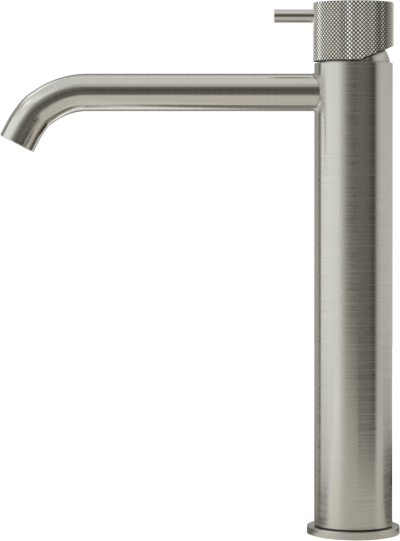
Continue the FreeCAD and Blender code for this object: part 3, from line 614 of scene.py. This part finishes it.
def make_spout(sizes, finish):
    """The bent tube, open at both ends: outside from column to lip, and back inside."""
    stations = spout_stations()
    end = stations.pop()
    lip, past_column = sizes.edge_round, 26 * MM
    # The lip's two rounded edges, as (way back from the end, radius)
    turns = [math.pi / 2 * i / 5 for i in range(6)]
    outer = [(lip * 2, SPOUT_RADIUS)] + [
        (lip * (1 - math.sin(t)), SPOUT_RADIUS - lip * (1 - math.cos(t))) for t in turns]
    inner = [(lip * (1 - math.cos(t)), SPOUT_BORE + lip * (1 - math.sin(t))) for t in turns] + [
        (lip * 2, SPOUT_BORE)]
    path = [(saddle_ring(SPOUT_RADIUS, COLUMN_BORE), COLUMN_BORE),
            (spout_ring((0, -past_column, SPOUT_LEVEL, 0), SPOUT_RADIUS), past_column)]
    path += [(spout_ring(station, SPOUT_RADIUS), station[0]) for station in stations]
    path += [(spout_ring(end, radius, back), end[0] - back) for back, radius in outer]
    path += [(spout_ring(end, radius, back), end[0] + back) for back, radius in inner]
    path += [(spout_ring(station, SPOUT_BORE), station[0]) for station in reversed(stations)]
    path.append((saddle_ring(SPOUT_BORE, COLUMN_BORE), COLUMN_BORE))
    rings, ways = zip(*path)
    spout = skin("spout_bent_tube", rings)
    mark_brush_way(spout, rings, ways)
    settle(spout, "faucet_body", [finish], ["spout_tube"])


def make_weld(sizes, finish):
    """The blended weld in the corner between spout and column: a rolling ball's concave path."""
    ball = sizes.weld_radius
    around, across, buried = 160, 8, 0.25 * MM
    sections = []
    for side, up in circle(SPOUT_RADIUS + ball, around):
        centre = Vector((-math.sqrt((COLUMN_RADIUS + ball) ** 2 - side ** 2), side, up))
        on_spout = Vector((0, -side, -up)).normalized()
        on_column = Vector((-centre.x, -centre.y, 0)).normalized()
        section = [centre + on_spout.slerp(on_column, i / across) * ball for i in range(across + 1)]
        deep = (on_spout + on_column).normalized()
        depth = ball / math.cos(on_spout.angle(on_column) / 2) + buried
        section.append(centre + deep * depth)
        sections.append([tuple(p + Vector((0, 0, SPOUT_LEVEL))) for p in section])
    weld = skin("spout_weld", list(zip(*sections)))
    settle(weld, "faucet_body", [finish], sharp=40)


def make_lever(sizes, finish):
    """The pin lever: a plain bar with a broken edge at its tip, and a thread inside the handle."""
    shoulder, thread_end, thread = -10.15 * MM, -6.75 * MM, 2.95 * MM
    tip, edge = LEVER_LOW.x, sizes.edge_round
    outline = rounded([
        (0, tip, 0), (LEVER_RADIUS, tip, edge), (LEVER_RADIUS, shoulder, 0), (thread, shoulder, 0),
        (thread, thread_end, 0), (0, thread_end, 0)])
    lever = lathe("pin_lever", outline, X_AXIS, LEVER_LEVEL, 128)
    settle(lever, "handle", [finish], ["lever_pin"])


# What repeats: the knurling and the outlet's honeycomb

def new_tree(name, counts, measures):
    """A tree that makes geometry from whole numbers, other numbers and a material."""
    tree = bpy.data.node_groups.new(name, "GeometryNodeTree")
    kinds = dict.fromkeys(counts, "Int") | dict.fromkeys(measures, "Float")
    for label, kind in [*kinds.items(), ("Material", "Material")]:
        tree.interface.new_socket(label, in_out="INPUT", socket_type="NodeSocket" + kind)
    tree.interface.new_socket("Geometry", in_out="OUTPUT", socket_type="NodeSocketGeometry")
    return tree, add(tree, "NodeGroupInput").outputs


def end_tree(tree, geometry, material):
    """Ends a tree with real geometry and its material, and gives it back."""
    real = add(tree, "GeometryNodeRealizeInstances", {"Geometry": geometry})
    painted = add(tree, "GeometryNodeSetMaterial", {"Geometry": real.outputs[0],
                                                    "Material": material})
    add(tree, "NodeGroupOutput", {0: painted.outputs[0]})
    return tree


def mesh_place(tree):
    """Each point's X, Y and Z."""
    place = add(tree, "GeometryNodeInputPosition").outputs[0]
    return add(tree, "ShaderNodeSeparateXYZ", {0: place}).outputs


def move(tree, geometry, socket, x, y, z=0.0):
    """Moves each point to its own Position, or by an Offset."""
    place = add(tree, "ShaderNodeCombineXYZ", {"X": x, "Y": y, "Z": z}).outputs[0]
    return add(tree, "GeometryNodeSetPosition", {"Geometry": geometry, socket: place}).outputs[0]


def merge(tree, geometry, distance=0.01 * MM):
    return add(tree, "GeometryNodeMergeByDistance",
               {"Geometry": geometry, "Distance": distance}).outputs[0]


def knurl_tree():
    """Diamond peaks set out on a flat lattice, joined along their grooves and wrapped round Z."""
    tree, given = new_tree("diamond_knurl", ("Columns", "Rows"), (
        "Peak Size", "Groove Radius", "Depth", "Row Height", "Bottom"))
    wide = calc(tree, "SUBTRACT", given["Columns"], 1.0)
    high = calc(tree, "SUBTRACT", given["Rows"], 1.0)
    lattice = add(tree, "GeometryNodeMeshGrid", {
        "Size X": wide, "Size Y": high, "Vertices X": given["Columns"],
        "Vertices Y": given["Rows"]})
    lattice = move(tree, lattice.outputs["Mesh"], "Offset",
                   calc(tree, "MULTIPLY", wide, 0.5), calc(tree, "MULTIPLY", high, 0.5))
    place = mesh_place(tree)
    # 0 on every second lattice point, like the squares of a chess board, and 1 on the others
    turn = calc(tree, "PINGPONG", calc(tree, "ADD", place["X"], place["Y"]), 1.0)
    peak = add(tree, "GeometryNodeMeshCone", {
        "Vertices": 4, "Radius Top": given["Peak Size"], "Radius Bottom": 1.0, "Depth": 1.0})
    peak = add(tree, "GeometryNodeDeleteGeometry", {
        "Geometry": peak.outputs["Mesh"], "Selection": peak.outputs["Bottom"]},
        domain="FACE", mode="ONLY_FACE")
    peaks = add(tree, "GeometryNodeInstanceOnPoints", {
        "Points": lattice, "Selection": calc(tree, "GREATER_THAN", turn, 0.5),
        "Instance": peak.outputs[0]})
    sheet = add(tree, "GeometryNodeRealizeInstances", {"Geometry": peaks.outputs[0]})
    # On the flat lattice a unit is one lattice step
    sheet = merge(tree, sheet.outputs[0], 0.01)
    place = mesh_place(tree)
    angle = calc(tree, "DIVIDE", calc(tree, "MULTIPLY", place["X"], 2 * math.pi),
                 given["Columns"])
    radius = calc(tree, "ADD", calc(tree, "MULTIPLY", place["Z"], given["Depth"]),
                  given["Groove Radius"])
    height = calc(tree, "ADD", calc(tree, "MULTIPLY", place["Y"], given["Row Height"]),
                  given["Bottom"])
    sheet = move(tree, sheet, "Position",
                 calc(tree, "MULTIPLY", radius, calc(tree, "COSINE", angle)),
                 calc(tree, "MULTIPLY", radius, calc(tree, "SINE", angle)), height)
    return end_tree(tree, merge(tree, sheet), given["Material"])


def honeycomb_tree():
    """A round plate of six-sided cells: the dual of a triangle lattice, inset and thickened."""
    tree, given = new_tree("outlet_honeycomb", ("Count",), (
        "Cell", "Opening", "Radius", "Thickness"))
    span = calc(tree, "MULTIPLY", calc(tree, "SUBTRACT", given["Count"], 1.0), given["Cell"])
    lattice = add(tree, "GeometryNodeMeshGrid", {
        "Size X": span, "Size Y": span, "Vertices X": given["Count"],
        "Vertices Y": given["Count"]})
    lattice = add(tree, "GeometryNodeTriangulate", {0: lattice.outputs["Mesh"]},
                  quad_method="FIXED")
    place = mesh_place(tree)
    lattice = move(tree, lattice.outputs[0], "Position",
                   calc(tree, "SUBTRACT", place["X"], calc(tree, "MULTIPLY", place["Y"], 0.5)),
                   calc(tree, "MULTIPLY", place["Y"], math.sqrt(3) / 2))
    cells = add(tree, "GeometryNodeDualMesh", {"Mesh": lattice})
    reach = vector_calc(tree, "LENGTH", add(tree, "GeometryNodeInputPosition").outputs[0])
    cells = add(tree, "GeometryNodeDeleteGeometry", {
        "Geometry": cells.outputs[0],
        "Selection": calc(tree, "GREATER_THAN", reach, given["Radius"])}, domain="FACE")
    inset = add(tree, "GeometryNodeExtrudeMesh", {
        "Mesh": cells.outputs[0], "Offset Scale": 0.0, "Individual": True}, mode="FACES")
    inset_top = inset.outputs["Top"]
    inset = add(tree, "GeometryNodeScaleElements", {
        "Geometry": inset.outputs["Mesh"], "Selection": inset_top, "Scale": given["Opening"]},
        domain="FACE")
    walls = add(tree, "GeometryNodeDeleteGeometry", {
        "Geometry": inset.outputs[0], "Selection": inset_top}, domain="FACE", mode="ONLY_FACE")
    walls = merge(tree, walls.outputs[0])
    up = add(tree, "ShaderNodeCombineXYZ", {"Z": given["Thickness"]})
    raised = add(tree, "GeometryNodeExtrudeMesh", {
        "Mesh": walls, "Offset": up.outputs[0], "Individual": False}, mode="FACES")
    under = add(tree, "GeometryNodeFlipFaces", {"Mesh": walls})
    both = add(tree, "GeometryNodeJoinGeometry")
    tree.links.new(raised.outputs["Mesh"], both.inputs[0])
    tree.links.new(under.outputs[0], both.inputs[0])
    return end_tree(tree, merge(tree, both.outputs[0]), given["Material"])


def close_ends(thing, low, high):
    """Closes a sleeve's two open ends with a fan of faces to a point on the Z axis."""
    def fans(shape):
        tips = {True: shape.verts.new((0, 0, high)), False: shape.verts.new((0, 0, low))}
        middle = (low + high) / 2
        for edge in [e for e in shape.edges if e.is_boundary]:
            a, b = edge.verts
            shape.faces.new((a, b, tips[a.co.z > middle]))

    edit_mesh(thing, fans)


def make_handle(sizes, *finishes):
    """The knurled cap: diamonds round the outside, cut to the turned blank with its hollow, the
    slanted rear cut, the lever's hole and the square socket."""
    low, high, row = HANDLE_LOW.z, HANDLE_HIGH.z, sizes.knurl_row
    # The diamonds reach past the blank by two rows at each end
    rows = math.ceil((high - low) / row) + 5
    bottom = low - 2 * row
    # A diamond's flat top is a tenth as wide as its foot
    flat_top = 0.10
    handle = grow("knurled_handle", knurl_tree(), {
        "Columns": sizes.knurl_columns, "Rows": rows, "Peak Size": flat_top,
        "Groove Radius": HANDLE_RADIUS - sizes.knurl_depth, "Depth": sizes.knurl_depth,
        "Row Height": row, "Bottom": bottom, "Material": finishes[0]})
    close_ends(handle, bottom - 2 * row, bottom + (rows + 2) * row)
    for finish in finishes:
        handle.data.materials.append(finish)

    chamfer, clear, hub = 0.5 * MM, 1.0 * MM, 10.0 * MM
    cavity, cavity_top, recess, recess_top = 22.25 * MM, 295.2 * MM, 20.25 * MM, 308.8 * MM
    rim, outside = HANDLE_RADIUS - chamfer, HANDLE_RADIUS - chamfer + clear
    blank = lathe("blank", [
        (0, high), (rim, high), (outside, high - clear), (outside, low + clear), (rim, low),
        (cavity, low), (cavity, cavity_top), (recess, cavity_top), (recess, recess_top),
        (hub, recess_top), (hub, cavity_top), (0, cavity_top)])
    # The turned top is the second finish, and what faces down or inwards is the third, painted
    # shade
    for face in blank.data.polygons:
        face.material_index = 1 if face.center.z > high - clear else 2
    carve(handle, blank, "INTERSECT")

    beyond, below = HANDLE_RADIUS * 1.2, low - 4 * MM
    cut_start, slope = 1.5 * MM, math.tan(math.radians(22.8))
    play, thread = 0.08 * MM, 3.0 * MM
    square, square_low, square_high = 3.55 * MM, 290 * MM, 306.5 * MM
    wedge = [(cut_start, low), (beyond, low + (beyond - cut_start) * slope), (beyond, below),
             (cut_start, below)]
    tools = [
        skin_prism("rear_cut", wedge, HANDLE_RADIUS * 1.5),
        cross_bore("lever_hole", LEVER_RADIUS + play, -beyond, -hub, LEVER_LEVEL, 96),
        cross_bore("thread_hole", thread, -beyond / 2, 0, LEVER_LEVEL, 48),
        skin_prism("square_socket", [(-square, square_low), (square, square_low),
                                     (square, square_high), (-square, square_high)], square),
    ]
    # Every cut's faces get the third finish, painted shade
    for tool in tools:
        for face in tool.data.polygons:
            face.material_index = 2
        carve(handle, tool, "DIFFERENCE")
    settle(handle, "handle", [], ["handle_shell"], sharp=24)


def skin_prism(name, outline, half_width):
    """A prism from an outline in the XZ plane, half_width to each side of it."""
    count = len(outline)
    points = [(x, side * half_width, z) for side in (-1, 1) for x, z in outline]
    faces = [list(range(count)), list(range(count, 2 * count))]
    faces += [[i, (i + 1) % count, count + (i + 1) % count, count + i] for i in range(count)]
    prism = new_object(name, points, faces)
    face_outwards(prism)
    return prism


def make_outlet(sizes, finish):
    """The honeycomb that straightens the water, inside the spout's outlet."""
    recess, lip, thickness, radius = 0.8 * MM, 1.2 * MM, 2.2 * MM, 7.0 * MM
    open_share = 0.82
    plate = grow("outlet_honeycomb", honeycomb_tree(), {
        "Cell": sizes.mesh_cell, "Opening": open_share, "Radius": radius, "Thickness": thickness,
        "Count": 2 * math.ceil(2 * radius / sizes.mesh_cell) + 1, "Material": finish})
    _, x, z, turned = spout_stations()[-1]
    up_the_tube = Matrix.Rotation(math.pi / 2 - turned, 4, "Y")
    plate.data.transform(Matrix.Translation((x, 0, z)) @ up_the_tube
                         @ Matrix.Translation((0, 0, recess + lip)))
    settle(plate, "faucet_body", [finish], ["aerator_flow_former"])


# The stage

# The studio, as levels round the object by the degrees from the camera's side towards +X:
# upright light panels and the dark between them
PANELS = (
    (-180, 0.38), (-165, 0.42), (-152, 0.42), (-142, 0.58), (-137, 0.43), (-131, 0.56),
    (-126, 0.29), (-121, 0.08), (-117, 0.34), (-111, 1.14), (-90, 1.2), (-50, 1.16),
    (-41, 0.88), (-30, 0.55), (-22, 0.33), (-12, 0.2), (-4, 0.145), (0, 0.135), (4, 0.155),
    (10, 0.2), (24, 0.22), (36, 0.175), (47, 0.12), (57, 0.07), (62, 0.1), (71, 0.6), (87, 0.8),
    (109, 0.76), (125, 0.7), (141, 0.66), (160, 0.52), (180, 0.38),
)
# How much of the panels shows by the degrees over the horizon
PANEL_RISE = (
    (-90, 0.3), (-30, 0.35), (-12, 0.3), (-8.3, 0.25), (-7.5, 1.0), (1, 1.0), (5, 0.65),
    (12, 0.65), (22, 0.9), (30, 0.9), (38, 0.3), (90, 0.3),
)
# The room above and below, by the same degrees
HEIGHTS = (
    (-90, 1.0), (-70, 1.0), (-54, 1.1), (-40, 1.1), (-30, 0.60), (-19, 0.50), (-13, 0.30),
    (-9, 0.09), (0, 0.03), (12, 0.01), (21, 0.03), (27, 0.12), (34, 0.50), (41, 0.72),
    (74, 0.82), (90, 0.76),
)
# How brightly that shows round the object, brightest over the left panel
OPENING = (
    (-180, 0.4), (-160, 0.8), (-150, 1.6), (-133, 2), (-118, 1.4), (-104, 1.15), (-96, 1),
    (-88, 1.7), (-80, 2.15), (-66, 1.4), (-50, 1.5), (-33, 1.3), (-20, 0.75), (-12, 0.6),
    (-4, 0.9), (4, 0.9), (10, 0.5), (20, 0.25), (36, 0.15), (43, 0.9), (50, 0.4), (58, 0.22),
    (66, 0.35), (81, 0.7), (97, 0.9), (113, 1.3), (130, 1.9), (150, 1.9), (170, 0.5), (180, 0.4),
)
# The paper as the object sees it: light and shade painted in its colour, and their reach in metres
PAPER_PAINTED_LIGHT = (
    (-180, 0.45), (-150, 0.38), (-135, 0.34), (-112, 0.3), (-90, 0.22), (-82, 0.22), (-76, 0.4),
    (-67, 0.95), (-48, 0.95), (-32, 0.8), (75, 0.8), (88, 0.6), (97, 0.15), (106, 0.09),
    (115, 0.04), (126, 0.02), (162, 0.02), (172, 0.3), (180, 0.45),
)
PAPER_REACH = (
    (-180, 0.3), (-160, 0.175), (-140, 0.134), (-113, 0.13), (-90, 0.14), (-72, 0.16),
    (-62, 0.55), (-10, 0.75), (4, 0.6), (12, 0.3), (60, 0.3), (72, 0.5), (90, 0.45),
    (162, 0.45), (172, 0.25), (180, 0.3),
)
# How far a second painted patch of light reaches, which starts further out
PAPER_FAR = (
    (-180, 0.01), (-120, 0.01), (-114, 0.28), (-84, 0.28), (-76, 0.01), (180, 0.01),
)


def level_round(tree, way, stops, limit=180):
    """A level read from stops by the compass angle of a direction, or by its height for 90."""
    if limit == 90:
        turn = calc(tree, "ARCSINE", way["Z"])
    else:
        turn = calc(tree, "ARCTAN2", way["X"], calc(tree, "MULTIPLY", way["Y"], -1.0))
    share = spread(tree, turn, 0.0, 1.0, -math.radians(limit), math.radians(limit))
    ramp = add(tree, "ShaderNodeValToRGB", {0: share})
    set_stops(ramp, stops, -limit, limit)
    return ramp.outputs[0]


def mix_colour(tree, share, first, second):
    return add(tree, "ShaderNodeMix", {0: share, 6: first, 7: second},
               data_type="RGBA").outputs[2]


def make_floor():
    """A pale sheet of paper: white to the camera but for the shadow, as a lit studio sweep is.

    To the object it shows patches of painted light and shade, by direction and distance, and is
    clear beyond them.
    """
    edge, steps = 1.3, 96
    floor = new_object("studio_floor", [(x, y, 0) for x, y in circle(edge, steps)],
                       [list(range(steps))])
    material, tree = new_material("studio_paper")
    place = object_place(tree)
    reach = vector_calc(tree, "LENGTH", place)
    way = add(tree, "ShaderNodeSeparateXYZ", {0: place}).outputs
    # Each fade runs between two distances in metres, or two shares of a patch's reach
    patch_edge, far_patch_start = (0.85, 1.15), (0.15, 0.18)
    near_edge, left_to_right = (0.15, 0.19), (-0.02, 0.03)
    strip_start, strip_end = (0.15, 0.18), (0.22, 0.25)
    past_painted_light, past_far_painted_light = (
        spread(tree, calc(tree, "DIVIDE", reach, level_round(tree, way, stops)), 0.0, 1.0,
               *patch_edge) for stops in (PAPER_REACH, PAPER_FAR))
    inside = spread(tree, reach, 1.0, 0.0, *far_patch_start)
    past_painted_light = calc(tree, "MINIMUM", past_painted_light, calc(tree, "MAXIMUM", past_far_painted_light, inside))
    # Painted light close to the object: no part of the paper is quite dark, the least so on its
    # right
    near = calc(tree, "MULTIPLY", spread(tree, reach, 0.30, 0.0, *near_edge),
                spread(tree, way["X"], 0.6, 0.8, *left_to_right))
    # Painted light also on the strip that the spout's outlet mirrors
    strip = calc(tree, "MULTIPLY", spread(tree, way["X"], 0.0, 0.24, *strip_start),
                 spread(tree, way["X"], 1.0, 0.0, *strip_end))
    level = calc(tree, "MAXIMUM", level_round(tree, way, PAPER_PAINTED_LIGHT),
                 calc(tree, "MAXIMUM", near, strip))
    # Where the painted light is dim it is painted warmer
    tint = mix_colour(tree, level, hex_colour("#FFF4E0"), hex_colour("#FFFDF9"))
    # The paper's colour to the object carries the painted light and shade
    painted_light_patches = add(tree, "ShaderNodeBsdfDiffuse", {
        "Color": vector_calc(tree, "SCALE", tint, level)}).outputs[0]
    clear = add(tree, "ShaderNodeBsdfTransparent").outputs[0]
    to_object = add(tree, "ShaderNodeMixShader", {0: past_painted_light, 1: painted_light_patches, 2: clear}).outputs[0]
    paper = add(tree, "ShaderNodeBsdfDiffuse", {"Color": hex_colour("#F4F3F2")}).outputs[0]
    glow = add(tree, "ShaderNodeEmission", {"Color": (1, 1, 1, 1), "Strength": 0.6}).outputs[0]
    to_camera = add(tree, "ShaderNodeAddShader", {0: paper, 1: glow}).outputs[0]
    seen = add(tree, "ShaderNodeMixShader", {
        0: add(tree, "ShaderNodeLightPath").outputs["Is Camera Ray"],
        1: to_object, 2: to_camera}).outputs[0]
    add(tree, "ShaderNodeOutputMaterial", {"Surface": seen})
    floor.data.materials.append(material)


def make_studio_light():
    """A white backdrop behind the object, and soft light panels and dim gaps all round it."""
    world = bpy.data.worlds.new("studio")
    world.use_nodes = True
    tree = world.node_tree
    tree.nodes.clear()
    way = add(tree, "ShaderNodeSeparateXYZ",
              {0: add(tree, "ShaderNodeTexCoord").outputs["Generated"]}).outputs
    heights = level_round(tree, way, HEIGHTS, 90)
    open_heights = calc(tree, "MULTIPLY", heights, level_round(tree, way, OPENING))
    panels = calc(tree, "MULTIPLY", level_round(tree, way, PANELS),
                  level_round(tree, way, PANEL_RISE, 90))
    panels = calc(tree, "MAXIMUM", panels, open_heights)
    # Straight up and down, past these sines, the panels give way to the ceiling and the floor
    steep = (0.72, 0.82)
    steepness = spread(tree, calc(tree, "ABSOLUTE", way["Z"]), 0.0, 1.0, *steep)
    level = add(tree, "ShaderNodeMix", {0: steepness, 2: panels, 3: heights}).outputs[0]
    # The panels give a cooler light than the dim parts of the room
    warm, cool = (1.0, 0.968, 0.905, 1), (0.965, 1.015, 1.06, 1)
    tint = mix_colour(tree, spread(tree, level, 0.0, 1.0, 0.25, 1.0), warm, cool)
    room = vector_calc(tree, "SCALE", tint, level)
    # The backdrop behind the object is white to the camera, and in metal and glass within these
    # cosines of straight behind
    backdrop_edge = (0.987, 0.995)
    rays = add(tree, "ShaderNodeLightPath").outputs
    mirrored = calc(tree, "MAXIMUM", rays["Is Glossy Ray"], rays["Is Transmission Ray"])
    mirrored = calc(tree, "MULTIPLY", mirrored,
                    spread(tree, way["Y"], 0.0, 1.0, *backdrop_edge))
    backdrop = calc(tree, "MAXIMUM", rays["Is Camera Ray"], mirrored)
    shine = add(tree, "ShaderNodeBackground", {
        "Color": mix_colour(tree, backdrop, room, (1, 1, 1, 1)), "Strength": 1.0})
    add(tree, "ShaderNodeOutputWorld", {"Surface": shine.outputs[0]})
    bpy.context.scene.world = world


def make_lamp():
    """A large soft lamp high on the left, aimed at the middle of the object, which the metal
    doesn't mirror."""
    light = bpy.data.lights.new("lamp_above", "AREA")
    light.energy, light.size = 6.0, 1.4
    lamp = bpy.data.objects.new("lamp_above", light)
    lamp.location = (-0.5, -0.7, 1.6)
    aim = Vector((-0.05, 0, 0.15)) - lamp.location
    lamp.rotation_euler = aim.to_track_quat("-Z", "Y").to_euler()
    lamp.visible_glossy = False
    bpy.context.scene.collection.objects.link(lamp)


def make_camera():
    """A long lens just above the spout's height, tipped down by half a degree."""
    data = bpy.data.cameras.new("camera")
    data.sensor_width = 36.0
    data.lens = 144.72
    data.shift_y = -0.17
    camera = bpy.data.objects.new("camera", data)
    camera.location = (-0.09025, -1.27989, 0.21944)
    camera.rotation_euler = (math.radians(90 - 0.4866), 0, 0)
    bpy.context.scene.collection.objects.link(camera)
    bpy.context.scene.camera = camera


# The operators

def chosen(context):
    return context.scene.mixer_colours, context.scene.mixer_sizes


class MIXER_OT_stage(bpy.types.Operator):
    """Make the floor, the light and the camera"""
    bl_idname = "mixer.stage"
    bl_label = "Stage"

    def execute(self, context):
        make_floor()
        make_studio_light()
        make_lamp()
        make_camera()
        context.scene.view_settings.view_transform = "Standard"
        return {"FINISHED"}


class MIXER_OT_inner_parts(bpy.types.Operator):
    """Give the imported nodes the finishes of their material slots"""
    bl_idname = "mixer.inner_parts"
    bl_label = "Inner parts"

    def execute(self, context):
        colours, sizes = chosen(context)
        finishes = make_slot_materials(colours)
        plate = brushed_nickel("nickel_plate_hidden", colours, sizes, Z_AXIS)
        for row in frame["record"]["subparts"]:
            mesh = frame["nodes"][row["node"]].data
            mesh.materials.clear()
            mesh.materials.append(finishes.get(row["material_slot"], plate))
        return {"FINISHED"}


class MIXER_OT_body(bpy.types.Operator):
    """Make the column, the base ring and the ball cover"""
    bl_idname = "mixer.body"
    bl_label = "Column and base"

    def execute(self, context):
        colours, sizes = chosen(context)
        finish = brushed_nickel("nickel_brushed_round", colours, sizes, Z_AXIS)
        make_column(sizes, finish, painted_shade_nickel(colours))
        make_flange(sizes, finish)
        make_dome(finish)
        return {"FINISHED"}


class MIXER_OT_spout(bpy.types.Operator):
    """Make the bent spout, its weld and the honeycomb in its outlet"""
    bl_idname = "mixer.spout"
    bl_label = "Spout"

    def execute(self, context):
        colours, sizes = chosen(context)
        make_spout(sizes, brushed_nickel("nickel_brushed_spout", colours, sizes,
                                         rough=(0.10, 0.19)))
        make_weld(sizes, blended_weld(colours))
        make_outlet(sizes, bpy.data.materials["abs_moulded"])
        return {"FINISHED"}


class MIXER_OT_handle(bpy.types.Operator):
    """Make the knurled handle and its pin lever"""
    bl_idname = "mixer.handle"
    bl_label = "Handle"

    def execute(self, context):
        colours, sizes = chosen(context)
        turned = brushed_nickel("nickel_brushed_handle", colours, sizes, Z_AXIS)
        make_handle(sizes, knurled_nickel(colours, sizes), turned, painted_shade_nickel(colours))
        make_lever(sizes, brushed_nickel("nickel_brushed_lever", colours, sizes, X_AXIS,
                                         (0, 0, LEVER_LEVEL), rough=(0.08, 0.15)))
        return {"FINISHED"}


class MIXER_PT_panel(bpy.types.Panel):
    """The mixer's steps, sizes and colours"""
    bl_idname = "MIXER_PT_panel"
    bl_label = "Basin Mixer"
    bl_space_type = "VIEW_3D"
    bl_region_type = "UI"
    bl_category = "Basin Mixer"

    def draw(self, context):
        for operator in OPERATORS:
            self.layout.operator(operator.bl_idname)
        for group in reversed(chosen(context)):
            for name in group.bl_rna.properties.keys():
                if name not in ("rna_type", "name"):
                    self.layout.prop(group, name)


OPERATORS = (MIXER_OT_stage, MIXER_OT_inner_parts, MIXER_OT_body, MIXER_OT_spout, MIXER_OT_handle)
CLASSES = (MixerSizes, MixerColours, *OPERATORS, MIXER_PT_panel)


def register():
    for cls in CLASSES:
        bpy.utils.register_class(cls)
    bpy.types.Scene.mixer_sizes = PointerProperty(type=MixerSizes)
    bpy.types.Scene.mixer_colours = PointerProperty(type=MixerColours)


def unregister():
    del bpy.types.Scene.mixer_colours
    del bpy.types.Scene.mixer_sizes
    for cls in reversed(CLASSES):
        bpy.utils.unregister_class(cls)


def main():
    register()
    bpy.ops.mixer.stage()
    bpy.ops.mixer.inner_parts()
    bpy.ops.mixer.body()
    bpy.ops.mixer.spout()
    bpy.ops.mixer.handle()


if __name__ == "__main__":
    main()
